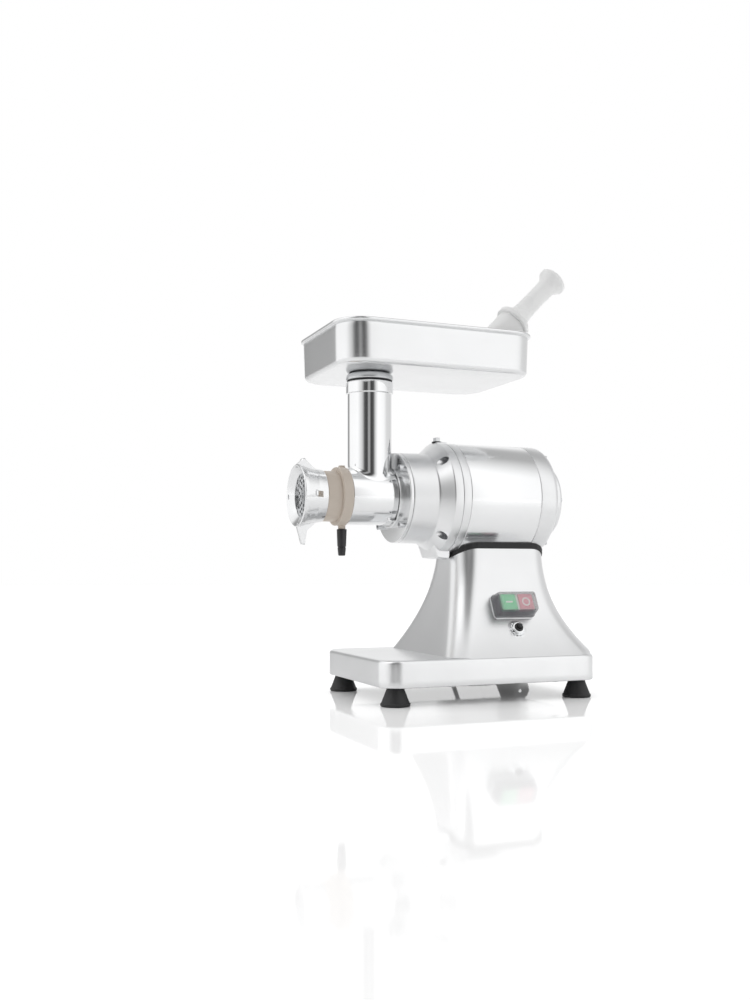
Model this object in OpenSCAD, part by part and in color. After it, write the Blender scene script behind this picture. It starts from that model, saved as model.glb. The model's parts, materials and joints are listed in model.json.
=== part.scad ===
// Electric meat grinder: cast base, gear motor, removable screw head, feed tray and pusher.
// Lengths in millimetres. +X runs from the plate end to the motor end, +Z is up, the switch side is -Y.

/* [Base] */
// Length of the base casting
base_len = 327; // [310:1:335]
// Width of the base casting
base_wid = 236; // [228:1:244]
// Height of the skirt's lower edge above the table
skirt_z = 24.5; // [23:0.5:28]
// Height of the flat platform in front of the pedestal
deck_z = 61; // [56:1:64]
// Corner radius of the skirt in plan
skirt_r = 26; // [18:1:30]
// Wall thickness of the base casting
wall = 4; // [3.5:0.5:5]
// Height at which the pedestal is narrowest
neck_z = 214; // [212:1:216]
// Half width of the pedestal's neck
neck_half = 48; // [46:1:50]
// Distance between the feet along the base
feet_len = 279; // [270:1:282]
// Distance between the feet across the base
feet_wid = 195; // [188:1:197]

/* [Motor and gearbox] */
// Height of the motor and screw axis above the table
axis_z = 280.5; // [280:0.1:281]
// Outer radius of the motor housing
motor_r = 80; // [80:0.5:80.5]
// Outer radius of the gearbox nose
nose_r = 63.5; // [63:0.5:64]
// Distance between the screw axis and the layshaft
lay_drop = 37.5; // [37.5:0.1:37.6]

/* [Screw head] */
// Outer radius of the barrel
barrel_r = 39; // [38:0.5:39]
// Inner radius of the barrel
bore_r = 29; // [28.8:0.1:29.2]
// Outer radius of the feed tube
tube_r = 31; // [30.5:0.5:31.5]
// Inner radius of the feed tube
tube_bore_r = 26; // [25.5:0.5:26]
// Distance between turns of the screw
screw_pitch = 36; // [32:1:40]
// Number of hole rings in the plate
hole_rings = 3; // [2:1:3]

/* [Tray and pusher] */
// Length of the feed tray at its rim
tray_len = 291; // [284:1:298]
// Width of the feed tray at its rim
tray_wid = 202; // [196:1:208]
// Height of the tray's rim above the table
tray_top = 512.5; // [508:0.5:516]
// Depth of the tray
tray_deep = 59; // [56:1:62]
// Radius of the pusher's lower part
pusher_r = 22; // [21:0.5:22]
// Lean of the resting pusher from vertical, in degrees
pusher_lean = 45; // [44:1:46]

/* [Cord] */
// Outer diameter of the mains cord
cord_d = 7; // [6.5:0.5:7]
// Mean radius of the stored coil
coil_r = 40; // [38:1:42]

/* [Hidden] */
$fn = 64;
e = 0.01;
// Centre of the feet, placed so that the whole machine is centred on the origin
feet_at = [40, -15, 0];

base_front = -162;
base_back = base_front + base_len;
foot_x = [-feet_len / 2, feet_len / 2];
foot_y = [-feet_wid / 2, feet_wid / 2];
floor_z = skirt_z + 2.3;
foot_top_r = 11;
foot_low_r = 20;

// Pedestal flare between the deck and the neck
flare_h = neck_z - deck_z;
neck_front = -20;
neck_r = 29;
neck_back = 124;
flare_front = 42;
flare_back = 44;
flare_side = 67;
flare_levels = [-8, -4, 0, 4, 9, 16, 25, 36, 50, 67, 87, 110, 132, 160];

gasket_t = 6;
saddle_r = motor_r + gasket_t;
roof_t = 6;

// Stations along the screw axis, from the feet centre
cover_front = -102;
cover_back = -96;
nose_back = -56.6;
flange_front = -40.7;
flange_back = -16.7;
shell_back = 94;
cap_back = 124;
cowl_back = 144;
cowl_r = 55;
bulkhead_t = 8;
cover_screw_r = 55;
lock_x = -103;
lock_r = 3;
bulkhead_x = flange_back - bulkhead_t;
shell_bore_r = 75;

// Gear train: 13 to 47 teeth, then 14 to 36 teeth, on one centre distance
fast_module = 1.25;
fast_pinion_teeth = 13;
fast_wheel_teeth = 47;
slow_module = 1.5;
slow_pinion_teeth = 14;
slow_wheel_teeth = 36;
pressure_angle = 20;
backlash = 0.16;
fast_w = 12;
slow_w = 20;
slow_x = -60;
fast_x = -38;
shaft_r = 7.5;
lay_shaft_r = 7.5;
out_shaft_r = 12.5;
bearing_gap = 0.05;

// Head stations
hub_front = -108;
hub_r = 42.5;
spigot_r = 36;
spigot_back = -90;
shoulder_x = -174.6;
thread_r = 32.6;
mouth_x = -227.7;
plate_back = -228;
plate_t = 6;
plate_r = 32.2;
lip_t = 3.2;
pin_at = 30.3;
pin_r = 1.3;
flight_len = 98;
tube_x = -137;
tube_top = 441;
collar_r = 33.2;
collar_h = 17;

// Ring nut
nut_back = -210;
nut_front = -245;
nut_back_r = 36.2;
nut_front_r = 43;
nut_bore_r = thread_r + 0.5;
nut_open_r = 30;

// Release ring
lever_x = -178.6;
ring_gap = 0.35;
ring_sleeve_r = 34.8;
ring_flange_r = 40.5;

// Tray
tray_x0 = -206;
tray_y0 = -84;
tray_bottom = tray_top - tray_deep;
tray_r = 38;
tray_t = 1.2;
neck_tube_r = 33;
neck_bore_r = 24;

// Pusher: its axis leaves the tray floor and leans over the rear wall
pusher_tip = [10.5, -20, 470.6];
stomp_len = 95;
handle_len = 101;

// Switches on the flared side of the pedestal
switch_at = [50, -72.8, 127.3];
switch_tilt = 26;
reset_at = [48.5, -89.0, 96.4];
reset_tilt = 33;

// Cord
cord_r = cord_d / 2;
gland_x = 88;
gland_z = 44;
coil_at = [146, 236, 0];
coil_half = 14.5;
plug_at = [194.6, 158, 0.1];

// Moves a shape drawn from the feet centre into the frame of the whole machine
module place() translate(feet_at) children();

// Cylinder along X from x0 to x1 on the screw axis
module bar_x(x0, x1, r) translate([x0, 0, axis_z]) rotate([0, 90, 0]) cylinder(h = x1 - x0, r = r);

// Solid of revolution about the screw axis: points are [x, radius]
module spin_x(points) translate([0, 0, axis_z]) rotate([0, 90, 0])
    rotate_extrude() polygon([for (p = points) [p[1], p[0]]]);

// Ring along X
module ring_x(x0, x1, r0, r1) spin_x([[x0, r0], [x0, r1], [x1, r1], [x1, r0]]);

// Copies around the screw axis, first at angle a0
module at_layshaft() translate([0, 0, -lay_drop]) children();
module around_x(count, a0, r) for (i = [0:count - 1])
    translate([0, 0, axis_z]) rotate([a0 + i * 360 / count, 0, 0]) translate([0, 0, r]) children();

// Rounded rectangle as one ring of points at height z
function ring_pts(z, x0, x1, y0, y1, r, n = 5) = [for (c = [0:3]) for (i = [0:n])
    let (a = c * 90 + i * 90 / n,
         cx = (c == 0 || c == 3) ? x1 - r : x0 + r,
         cy = c < 2 ? y1 - r : y0 + r)
    [cx + r * cos(a), cy + r * sin(a), z]];

// Closed solid through a stack of rings with the same number of points
module loft(rings) {
    n = len(rings[0]);
    m = len(rings);
    polyhedron(
        points = [for (ring = rings) each ring],
        faces = concat(
            [[for (i = [0:n - 1]) i]],
            [[for (i = [n - 1:-1:0]) (m - 1) * n + i]],
            [for (k = [0:m - 2]) for (i = [0:n - 1]) let (j = (i + 1) % n)
                [k * n + i, (k + 1) * n + i, (k + 1) * n + j]],
            [for (k = [0:m - 2]) for (i = [0:n - 1]) let (j = (i + 1) % n)
                [k * n + i, (k + 1) * n + j, k * n + j]]));
}

// Share of the flare left at height z: 1 at the deck, 0 at the neck
function flare(z) = pow(max(0, (neck_z - z) / flare_h), 1.9);
function flare_rear(z) = pow(max(0, (neck_z - z) / flare_h), 2.7);
function side_y(z) = min(neck_half + flare_side * flare(z), base_wid / 2 - 0.1);
function rear_x(z) = min(neck_back + flare_back * flare_rear(z), base_back - 0.1);

// Pedestal section at height z, drawn in by t
function pedestal_ring(z, t) = ring_pts(z - t * 0.6 * flare(z),
    neck_front - flare_front * flare(z) + t, rear_x(z) - t,
    -side_y(z) + t, side_y(z) - t, neck_r - t * 0.8);

// Skirt section at height z, drawn in by t
function skirt_ring(z, t) = ring_pts(z, base_front + t, base_back - t,
    -base_wid / 2 + t, base_wid / 2 - t, skirt_r - t * 0.8);

/* Base */

// The flared pedestal runs down into the slab, whose upper edge is rounded
module base_body() {
    loft([skirt_ring(skirt_z, 0), skirt_ring(deck_z - 5, 0), skirt_ring(deck_z - 3, 0.4),
        skirt_ring(deck_z - 1.2, 1.8), skirt_ring(deck_z - 0.3, 3.3), skirt_ring(deck_z, 5)]);
    loft([for (h = flare_levels) pedestal_ring(deck_z + h, 0)]);
}

module base_hollow() {
    loft([skirt_ring(skirt_z - 1, wall), skirt_ring(deck_z - 8, wall), skirt_ring(deck_z - 5, wall + 1.2),
        skirt_ring(deck_z - wall, wall + 3.4)]);
    loft([for (h = flare_levels) pedestal_ring(deck_z + h, wall)]);
}

// Local frame of a control on the switch side: origin on its pad, +Z out of the casting
module at_switch() translate(switch_at) rotate([90 - switch_tilt, 0, 0]) children();
module at_reset() translate(reset_at) rotate([90 - reset_tilt, 0, 0]) children();

module corner_feet() for (x = foot_x) for (y = foot_y) translate([x, y, 0]) children();

// Boss with a web of the given reach to the skirt wall; s is the side it stands on
module boss(r, h, reach, s) {
    cylinder(h = h, r = r);
    translate([-2, s > 0 ? 0 : -reach, 0]) cube([4, reach, h - 2]);
}

cover_screw_x = [-60, 100];
module cover_screw_places(s) for (x = cover_screw_x)
    translate([x, s * (base_wid / 2 - 14), 0]) children();

saddle_screw_x = [0, 84];
module saddle_screw_places() for (x = saddle_screw_x) for (s = [-1, 1])
    translate([x, s * 18, 0]) children();

module base_casting() color([0.86, 0.87, 0.88]) place() difference() {
    union() {
        difference() {
            base_body();
            difference() {
                base_hollow();
                bar_x(-200, 200, saddle_r + roof_t);
            }
        }
        for (s = [-1, 1]) {
            for (x = foot_x) translate([x, s * feet_wid / 2, skirt_z + 2.5]) boss(7.5, 24, 18, s);
            cover_screw_places(s) translate([0, 0, skirt_z + 2.5]) boss(5, 20, 12, s);
        }
        at_switch() translate([-32, -18, -9]) cube([64, 36, 9]);
        at_reset() translate([0, 0, -8]) cylinder(h = 8, r = 14);
    }
    bar_x(-200, 200, saddle_r);
    corner_feet() translate([0, 0, skirt_z]) cylinder(h = 24, r = 2.5);
    for (s = [-1, 1]) cover_screw_places(s) translate([0, 0, skirt_z]) cylinder(h = 16, r = 2);
    saddle_screw_places() translate([0, 0, 170]) cylinder(h = 60, r = 3.3);
    translate([42, 0, 170]) cylinder(h = 60, r = 9);
    at_switch() translate([-24, -12, -40]) cube([48, 24, 60]);
    at_reset() translate([0, 0, -40]) cylinder(h = 60, r = 6.2);
    translate([gland_x, base_wid / 2 - 12, gland_z]) rotate([-90, 0, 0]) cylinder(h = 20, r = 8);
}

module bottom_cover() color([0.7, 0.71, 0.72]) place() difference() {
    loft([skirt_ring(skirt_z + 0.3, wall + 0.4), skirt_ring(skirt_z + 2.3, wall + 0.4)]);
    corner_feet() translate([0, 0, skirt_z - 1]) cylinder(h = 5, r = 2.8);
    for (s = [-1, 1]) cover_screw_places(s) translate([0, 0, skirt_z - 1]) cylinder(h = 5, r = 2.3);
    for (x = [50:14:106]) translate([x - 2, -24, skirt_z - 1]) cube([4, 48, 5]);
}

module bottom_cover_screws() color([0.62, 0.63, 0.65]) place() for (s = [-1, 1]) cover_screw_places(s) {
    translate([0, 0, skirt_z - 1.7]) cylinder(h = 2, r = 4);
    translate([0, 0, skirt_z + 0.2]) cylinder(h = 14, r = 1.95);
}

module rubber_feet() color([0.06, 0.06, 0.06]) place() corner_feet() rotate_extrude()
    polygon([[5, 0], [foot_low_r - 0.6, 0], [foot_low_r, 0.6], [foot_low_r, 3.4],
        [foot_top_r, skirt_z + 0.3], [2.7, skirt_z + 0.3], [2.7, 12], [5, 12]]);

module foot_screws() color([0.6, 0.61, 0.63]) place() corner_feet() {
    translate([0, 0, 8.5]) cylinder(h = 3.5, r = 4.7);
    translate([0, 0, 11.9]) cylinder(h = 34, r = 2.45);
}

module saddle_gasket() color([0.05, 0.05, 0.05]) place() difference() {
    intersection() {
        ring_x(neck_front - 3, neck_back + 3, motor_r + e, saddle_r - e);
        loft([ring_pts(180, neck_front - 2, neck_back + 2, -neck_half - 1.6, neck_half + 1.6, neck_r + 1.6),
            ring_pts(226, neck_front - 2, neck_back + 2, -neck_half - 1.6, neck_half + 1.6, neck_r + 1.6)]);
    }
    saddle_screw_places() translate([0, 0, 170]) cylinder(h = 60, r = 3.3);
    translate([42, 0, 170]) cylinder(h = 60, r = 9);
}

module saddle_screws() color([0.62, 0.63, 0.65]) place() saddle_screw_places() {
    translate([0, 0, 183.4]) cylinder(h = 5.6, r = 4.6);
    translate([0, 0, 188.9]) cylinder(h = 18.9, r = 2.95);
}

/* Motor */

module motor_shell() color([0.93, 0.94, 0.95]) place() difference() {
    union() {
        ring_x(flange_back, shell_back, shell_bore_r, motor_r);
        intersection() {
            bar_x(flange_back, shell_back, shell_bore_r + 1);
            union() {
                saddle_screw_places() translate([0, 0, 195]) cylinder(h = 16, r = 7);
                around_x(4, 47, 73) rotate([0, 90, 0]) translate([0, 0, flange_back])
                    cylinder(h = 12, r = 6.5);
                around_x(3, 30, 71) rotate([0, 90, 0]) translate([0, 0, shell_back - 12])
                    cylinder(h = 12, r = 6);
            }
        }
    }
    bar_x(flange_back - 1, shell_back + 1, 66.5);
    saddle_screw_places() translate([0, 0, 170]) cylinder(h = 37.9, r = 3);
    translate([42, 0, 170]) cylinder(h = 60, r = 7);
    around_x(4, 47, 73) rotate([0, 90, 0]) translate([0, 0, flange_back - 1])
        cylinder(h = 11, r = 3);
    around_x(3, 30, 71) rotate([0, 90, 0]) translate([0, 0, shell_back - 10])
        cylinder(h = 11, r = 2);
}

module rear_cap() color([0.82, 0.83, 0.84]) place() difference() {
    spin_x([[shell_back + 0.05, 8], [shell_back + 0.05, 21], [shell_back + 9, 25], [shell_back + 9, 66],
        [shell_back + 0.05, 68], [shell_back + 0.05, motor_r], [cap_back - 9, motor_r],
        [cap_back - 5, motor_r - 0.9], [cap_back - 2.2, motor_r - 3], [cap_back - 0.5, motor_r - 6],
        [cap_back, motor_r - 9], [cap_back, 8]]);
    bar_x(shell_back - 1, shell_back + 13, 17.5);
    around_x(12, 15, 38) rotate([0, 90, 0]) translate([0, 0, shell_back]) cylinder(h = 40, r = 5);
    around_x(3, 30, 71) rotate([0, 90, 0]) translate([0, 0, shell_back - 1]) cylinder(h = 40, r = 2.2);
    around_x(3, 90, 51) rotate([0, 90, 0]) translate([0, 0, cap_back - 9]) cylinder(h = 20, r = 1.8);
}

module fan_cowl() color([0.8, 0.81, 0.82]) place() difference() {
    spin_x([[cap_back + 0.05, 48], [cap_back + 0.05, cowl_r], [cowl_back - 4, cowl_r],
        [cowl_back - 1, cowl_r - 1.4], [cowl_back, cowl_r - 4], [cowl_back, 0],
        [cowl_back - 2, 0], [cowl_back - 2, 46.5], [cowl_back - 6, 48]]);
    for (k = [1:3]) around_x(6 * k, 0, 12 * k) rotate([0, 90, 0]) translate([0, 0, cowl_back - 6])
        cylinder(h = 12, r = 3);
    around_x(3, 90, 51) rotate([0, 90, 0]) translate([0, 0, cap_back - 1]) cylinder(h = 40, r = 2.2);
    around_x(3, 90, 51) rotate([0, 90, 0]) translate([0, 0, cowl_back - 4]) cylinder(h = 12, r = 4);
}

module cowl_screws() color([0.62, 0.63, 0.65]) place() {
    around_x(3, 90, 51) rotate([0, 90, 0]) {
        translate([0, 0, cowl_back - 3.95]) cylinder(h = 3, r = 3.8);
        translate([0, 0, cap_back - 8]) cylinder(h = cowl_back - cap_back + 4.1, r = 1.75);
    }
    around_x(3, 30, 71) rotate([0, 90, 0]) {
        translate([0, 0, cap_back + 0.05]) cylinder(h = 3, r = 3.8);
        translate([0, 0, shell_back - 9]) cylinder(h = cap_back - shell_back + 9.1, r = 1.95);
    }
}

module stator_core() color([0.35, 0.36, 0.38]) place() difference() {
    bar_x(16, 70, shell_bore_r - e);
    bar_x(15, 71, 38.5);
    around_x(24, 7.5, 48) translate([15, -2.2, -6.5]) cube([60, 4.4, 13]);
}

module stator_windings() color([0.72, 0.4, 0.18]) place() for (x = [3, 70.1])
    spin_x([[x, 44], [x + 2, 41], [x + 9, 41], [x + 12.8, 44], [x + 12.8, 61],
        [x + 9, 65], [x + 2, 65], [x, 61]]);

module bearing_x(x, w, bore, outer) {
    ring_x(x, x + w, bore + bearing_gap, bore + (outer - bore) * 0.28);
    ring_x(x, x + w, outer - (outer - bore) * 0.28, outer);
    ring_x(x + 1, x + w - 1, bore + (outer - bore) * 0.28, outer - (outer - bore) * 0.28);
}

module front_motor_bearing() color([0.75, 0.76, 0.78]) place()
    bearing_x(bulkhead_x + 1, 11, shaft_r, 17.5);

module rear_motor_bearing() color([0.75, 0.76, 0.78]) place()
    bearing_x(shell_back + 1.9, 11, shaft_r, 17.5);

/* Gearbox */

module ear(y_half, profile) translate([0, y_half, axis_z]) rotate([90, 0, 0])
    linear_extrude(height = 2 * y_half) polygon(profile);

// Solid bosses left standing inside the hollow nose
module nose_bosses() {
    around_x(4, 45, cover_screw_r) rotate([0, 90, 0]) translate([0, 0, cover_back - 1])
        cylinder(h = 18, r = 6);
    around_x(4, 47, 73) rotate([0, 90, 0]) translate([0, 0, -52]) cylinder(h = 36, r = 8);
}

module gearbox_housing() color([0.84, 0.85, 0.86]) place() difference() {
    union() {
        spin_x([[cover_back, 0], [cover_back, nose_r - 1.1], [cover_back + 0.6, nose_r],
            [nose_back, nose_r + 0.8], [flange_front + 0.3, motor_r - 0.4],
            [flange_front + 0.6, motor_r], [flange_back, motor_r], [flange_back, 0]]);
        ear(27, [[-52, -62], [-44, -84.4], [-26, -85.8], [-24.5, -81], [-24.5, -50], [-52, -50]]);
        ear(13, [[-51, 62], [-46, 74], [-38, 81], [-22, 81], [-22, 50], [-51, 50]]);
    }
    difference() {
        spin_x([[cover_back - 1, 0], [cover_back - 1, 57], [nose_back + 1, 58], [flange_front + 2, 72],
            [bulkhead_x, 72], [bulkhead_x, 0]]);
        nose_bosses();
    }
    bar_x(bulkhead_x - 1, flange_back + 1, 17.5);
    around_x(4, 47, 73) rotate([0, 90, 0]) translate([0, 0, -80]) cylinder(h = 80, r = 3.2);
    around_x(4, 47, 73) rotate([0, 90, 0]) translate([0, 0, -80]) cylinder(h = 46, r = 6);
    around_x(4, 45, cover_screw_r) rotate([0, 90, 0]) translate([0, 0, cover_back - 1])
        cylinder(h = 16, r = 2);
    at_layshaft() bar_x(bulkhead_x - 1, bulkhead_x + 4.2, 11);
    translate([-33, 0, axis_z + 60]) cylinder(h = 30, r = 4);
}

// The hub in front takes the head's spigot; the bosses behind hold bearings and seal
module gearbox_cover() color([0.86, 0.87, 0.88]) place() difference() {
    union() {
        spin_x([[cover_front, 0], [cover_front, nose_r - 1], [cover_front + 1, nose_r],
            [cover_back - 0.6, nose_r], [cover_back, nose_r - 1.1], [cover_back, 0]]);
        spin_x([[hub_front, 0], [hub_front, hub_r - 1], [hub_front + 1, hub_r], [-99, hub_r], [-99, 0]]);
        bar_x(-97, -80, 41);
        bar_x(-81, -66, 33);
        at_layshaft() bar_x(-97, -71, 14.5);
        difference() {
            translate([lock_x, 0, axis_z]) rotate([-90, 0, 0]) cylinder(h = 60, r = 7);
            bar_x(lock_x - 20, hub_front, 80);
        }
    }
    bar_x(hub_front - 8, spigot_back + 0.4, spigot_r + 0.3);
    bar_x(-95, -82, 21);
    bar_x(-83, -65, 26);
    at_layshaft() bar_x(-83, -65.5, 11);
    translate([tube_x, 0, axis_z]) cylinder(h = 60, r = tube_r + 0.6);
    around_x(4, 45, cover_screw_r) rotate([0, 90, 0]) translate([0, 0, cover_front - 1])
        cylinder(h = 20, r = 2.6);
    translate([lock_x, 20, axis_z]) rotate([-90, 0, 0]) cylinder(h = 60, r = lock_r + 0.08);
}

module cover_screws() color([0.7, 0.71, 0.73]) place() around_x(4, 45, cover_screw_r) rotate([0, 90, 0]) {
    difference() {
        translate([0, 0, cover_front - 7]) cylinder(h = 7, r = 4.8);
        translate([0, 0, cover_front - 8]) cylinder(h = 5, r = 2.4, $fn = 6);
    }
    translate([0, 0, cover_front - 0.1]) cylinder(h = 18, r = 1.95);
}

module flange_bolts() color([0.3, 0.31, 0.33]) place() around_x(4, 47, 73) rotate([0, 90, 0]) {
    difference() {
        translate([0, 0, -39.9]) cylinder(h = 5.9, r = 5);
        translate([0, 0, -41]) cylinder(h = 4.5, r = 2.6, $fn = 6);
    }
    translate([0, 0, -34.1]) cylinder(h = 26, r = 2.9);
}

module oil_plug() color([0.78, 0.79, 0.8]) place() translate([-33, 0, axis_z]) {
    translate([0, 0, 82.6]) cylinder(h = 5.6, r = 5.4, $fn = 6);
    translate([0, 0, 68]) cylinder(h = 15, r = 3.9);
}

module oil_plug_washer() color([0.12, 0.12, 0.12]) place() translate([-33, 0, axis_z + 81]) difference() {
    cylinder(h = 1.6, r = 7);
    translate([0, 0, -1]) cylinder(h = 4, r = 3.95);
}

module layshaft_bearings() color([0.75, 0.76, 0.78]) place() at_layshaft() {
    bearing_x(-82.9, 7, 5, 11);
    bearing_x(bulkhead_x - 0.9, 5, 5, 11);
}

module output_bearings() color([0.75, 0.76, 0.78]) place() bearing_x(-81.9, 14, out_shaft_r, 26);

module shaft_seal() color([0.1, 0.1, 0.1]) place() ring_x(-89.4, -82.2, out_shaft_r + 0.08, 21);

/* Base electrics */

module run_capacitor() color([0.9, 0.9, 0.88]) place() translate([8, -20, floor_z]) {
    cylinder(h = 64, r = 17.5);
    translate([0, 0, 63.9]) cylinder(h = 3, r = 14);
    for (s = [-1, 1]) translate([-0.4, s * 6 - 3, 66]) cube([0.8, 6, 9]);
}

module terminal_block() color([0.92, 0.92, 0.9]) place() translate([20, 50, floor_z]) difference() {
    cube([46, 18, 16]);
    for (i = [0:3]) translate([6 + i * 11, 9, 6]) cylinder(h = 12, r = 2.6);
    for (i = [0:3]) translate([6 + i * 11, -1, 7]) rotate([-90, 0, 0]) cylinder(h = 20, r = 1.8);
}

/* Controls */

// Dark frame round the two push buttons, with the contact block behind the wall
module switch_body() color([0.28, 0.29, 0.3]) place() at_switch() difference() {
    union() {
        translate([-27.2, -13.4, 0]) cube([54.4, 26.8, 11]);
        translate([-23.5, -11.6, -24]) cube([47, 23.2, 24.1]);
    }
    for (s = [-1, 1]) translate([s * 13.3 - 12.5, -12.3, 4]) cube([25, 24.6, 10]);
}

module start_button() color([0.25, 0.68, 0.42]) place() at_switch()
    translate([-13.3 - 12.1, -11.9, 7.5]) cube([24.2, 23.8, 8.5]);

module stop_button() color([0.7, 0.3, 0.36]) place() at_switch()
    translate([13.3 - 12.1, -11.9, 7.5]) cube([24.2, 23.8, 8.5]);

function boot_ring(z, half_w, half_h, r) = ring_pts(z, -half_w, half_w, -half_h, half_h, r);

// Clear splash boot over the switch, open inside for the buttons' travel
module switch_boot() color([0.75, 0.78, 0.78, 0.45]) place() at_switch() difference() {
    loft([boot_ring(0, 31.4, 17.4, 5), boot_ring(4, 31.4, 17.4, 5), boot_ring(14, 30, 15.4, 4.5),
        boot_ring(19.2, 29.4, 14.4, 4), boot_ring(21, 28, 13, 3.5)]);
    loft([boot_ring(-1, 29.4, 15.6, 4), boot_ring(10, 28.6, 14.4, 4), boot_ring(19.2, 27.8, 12.8, 3)]);
}

module breaker_body() color([0.12, 0.12, 0.13]) place() at_reset() difference() {
    union() {
        translate([0, 0, -26]) cylinder(h = 34, r = 6);
        translate([-12, -16, -30]) cube([24, 32, 20]);
    }
    translate([0, 0, -6]) cylinder(h = 20, r = 3.6);
}

module breaker_ring() color([0.85, 0.86, 0.88]) place() at_reset() difference() {
    union() {
        translate([0, 0, 0.05]) cylinder(h = 2.6, r = 11.5);
        translate([0, 0, 2.5]) cylinder(h = 3.4, r = 9.2);
    }
    translate([0, 0, -1]) cylinder(h = 12, r = 6.05);
    for (i = [0:11]) rotate([0, 0, i * 30]) translate([11.5, 0, -1]) cylinder(h = 8, r = 1.2);
}

module reset_button() color([0.08, 0.08, 0.08]) place() at_reset() translate([0, 0, -2])
    cylinder(h = 14, r = 3.2);

/* Cord */

module cable_gland() color([0.1, 0.1, 0.1]) place()
    translate([gland_x, base_wid / 2, gland_z]) rotate([-90, 0, 0]) difference() {
    union() {
        translate([0, 0, 0.05]) cylinder(h = 5, r = 11, $fn = 6);
        translate([0, 0, 5]) cylinder(h = 5, r = 9.2);
        translate([0, 0, 9.9]) cylinder(h = 20, r1 = 8.4, r2 = 5.2);
        translate([0, 0, -9.95]) cylinder(h = 10.1, r = 7.9);
    }
    translate([0, 0, -12]) cylinder(h = 60, r = cord_r + 0.05);
}

// Route of the free cord from the gland to the coil, hand laid on the table
cord_route = [[88, 108, 44], [88, 118, 44], [88, 128, 44], [88, 138, 44], [88, 148, 44],
    [88, 157, 42.6], [88, 165, 38.6], [88, 172, 32.4], [88, 178, 25], [88, 184, 17.4],
    [88, 191, 10.8], [88, 199, 6.2], [88, 208, 4.2], [88, 218, 3.6], [88, 228, 3.6], [88, 236, 3.6]];

function unit(v) = v / norm(v);
function tangent(p, i) = unit(p[min(i + 1, len(p) - 1)] - p[max(i - 1, 0)]);
// Catmull-Rom point between p[i] and p[i + 1]
function smooth(p, i, t) = let (a = p[max(i - 1, 0)], b = p[i], c = p[i + 1], d = p[min(i + 2, len(p) - 1)])
    0.5 * (2 * b + (c - a) * t + (2 * a - 5 * b + 4 * c - d) * t * t + (3 * b - a - 3 * c + d) * t * t * t);
function dense(p, n) = concat([for (i = [0:len(p) - 2]) for (k = [0:n - 1]) smooth(p, i, k / n)],
    [p[len(p) - 1]]);

module sweep(path, r, sides) {
    m = len(path);
    rings = [for (i = [0:m - 1]) let (t = tangent(path, i), u = unit(cross([0.13, 0.02, 1], t)), w = cross(t, u))
        [for (k = [0:sides - 1]) path[i] + r * (cos(k * 360 / sides) * u + sin(k * 360 / sides) * w)]];
    polyhedron(points = [for (ring = rings) each ring],
        faces = concat([[for (k = [0:sides - 1]) k]],
            [[for (k = [sides - 1:-1:0]) (m - 1) * sides + k]],
            [for (i = [0:m - 2]) for (k = [0:sides - 1]) let (j = (k + 1) % sides)
                [i * sides + k, (i + 1) * sides + k, (i + 1) * sides + j]],
            [for (i = [0:m - 2]) for (k = [0:sides - 1]) let (j = (k + 1) % sides)
                [i * sides + k, (i + 1) * sides + j, i * sides + j]]));
}

module mains_cord() color([0.06, 0.06, 0.06]) place() sweep(dense(cord_route, 2), cord_r, 10);

module cord_coil() color([0.06, 0.06, 0.06]) place() translate(coil_at) rotate_extrude()
    polygon([[coil_r - coil_half, 0.1], [coil_r + coil_half, 0.1],
        [coil_r + coil_half, 14], [coil_r - coil_half, 14]]);

/* Moving parts of the drive */

function polar(r, a) = [r * cos(a), r * sin(a)];
// Unwind angle of an involute at radius r from base radius rb, and its polar angle
function roll(rb, r) = sqrt(max(0, pow(r / rb, 2) - 1)) * 180 / PI;
function inv_angle(rb, r) = roll(rb, r) - acos(min(1, rb / r));

// One spur gear outline with z teeth of module m
function gear_points(z, m) =
    let (rp = z * m / 2, rb = rp * cos(pressure_angle), ra = rp + 0.95 * m, rf = rp - 1.2 * m,
         half = 90 / z - backlash * 90 / (PI * rp) + inv_angle(rb, rp),
         r0 = max(rb, rf))
    [for (i = [0:z - 1]) let (a = i * 360 / z)
        each concat([polar(rf, a - half - 0.5)],
            [for (k = [0:4]) let (r = r0 + (ra - r0) * k / 4) polar(r, a - half + inv_angle(rb, r))],
            [for (k = [4:-1:0]) let (r = r0 + (ra - r0) * k / 4) polar(r, a + half - inv_angle(rb, r))],
            [polar(rf, a + half + 0.5)])];

module gear_x(x, w, z, m, turn) translate([x, 0, axis_z]) rotate([0, 90, 0]) rotate([0, 0, turn])
    linear_extrude(height = w) polygon(gear_points(z, m));

module rotor_core() color([0.55, 0.56, 0.58]) place() difference() {
    union() {
        bar_x(16, 70, 38);
        ring_x(10, 16, 22, 36);
        ring_x(70, 76, 22, 36);
    }
    bar_x(0, 90, shaft_r);
}

module motor_shaft() color([0.7, 0.71, 0.73]) place() {
    bar_x(bulkhead_x + 0.5, cap_back + 16, shaft_r);
    gear_x(fast_x, bulkhead_x - fast_x + 0.6, fast_pinion_teeth, fast_module, 0);
}

module cooling_fan() color([0.25, 0.26, 0.28]) place() translate([cap_back + 3, 0, axis_z])
    rotate([0, 90, 0]) difference() {
    union() {
        cylinder(h = 12, r = 13);
        cylinder(h = 1.6, r = 42);
        for (i = [0:8]) rotate([0, 0, i * 40]) translate([11, -1, 0]) cube([31, 2, 12]);
    }
    translate([0, 0, -1]) cylinder(h = 20, r = shaft_r);
}

module layshaft() color([0.66, 0.67, 0.69]) place() at_layshaft() {
    bar_x(-82.8, bulkhead_x + 4, 5);
    bar_x(-75.5, bulkhead_x - 1.2, lay_shaft_r);
    gear_x(slow_x - 0.5, slow_w + 1, slow_pinion_teeth, slow_module, 180 / slow_pinion_teeth);
}

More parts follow.
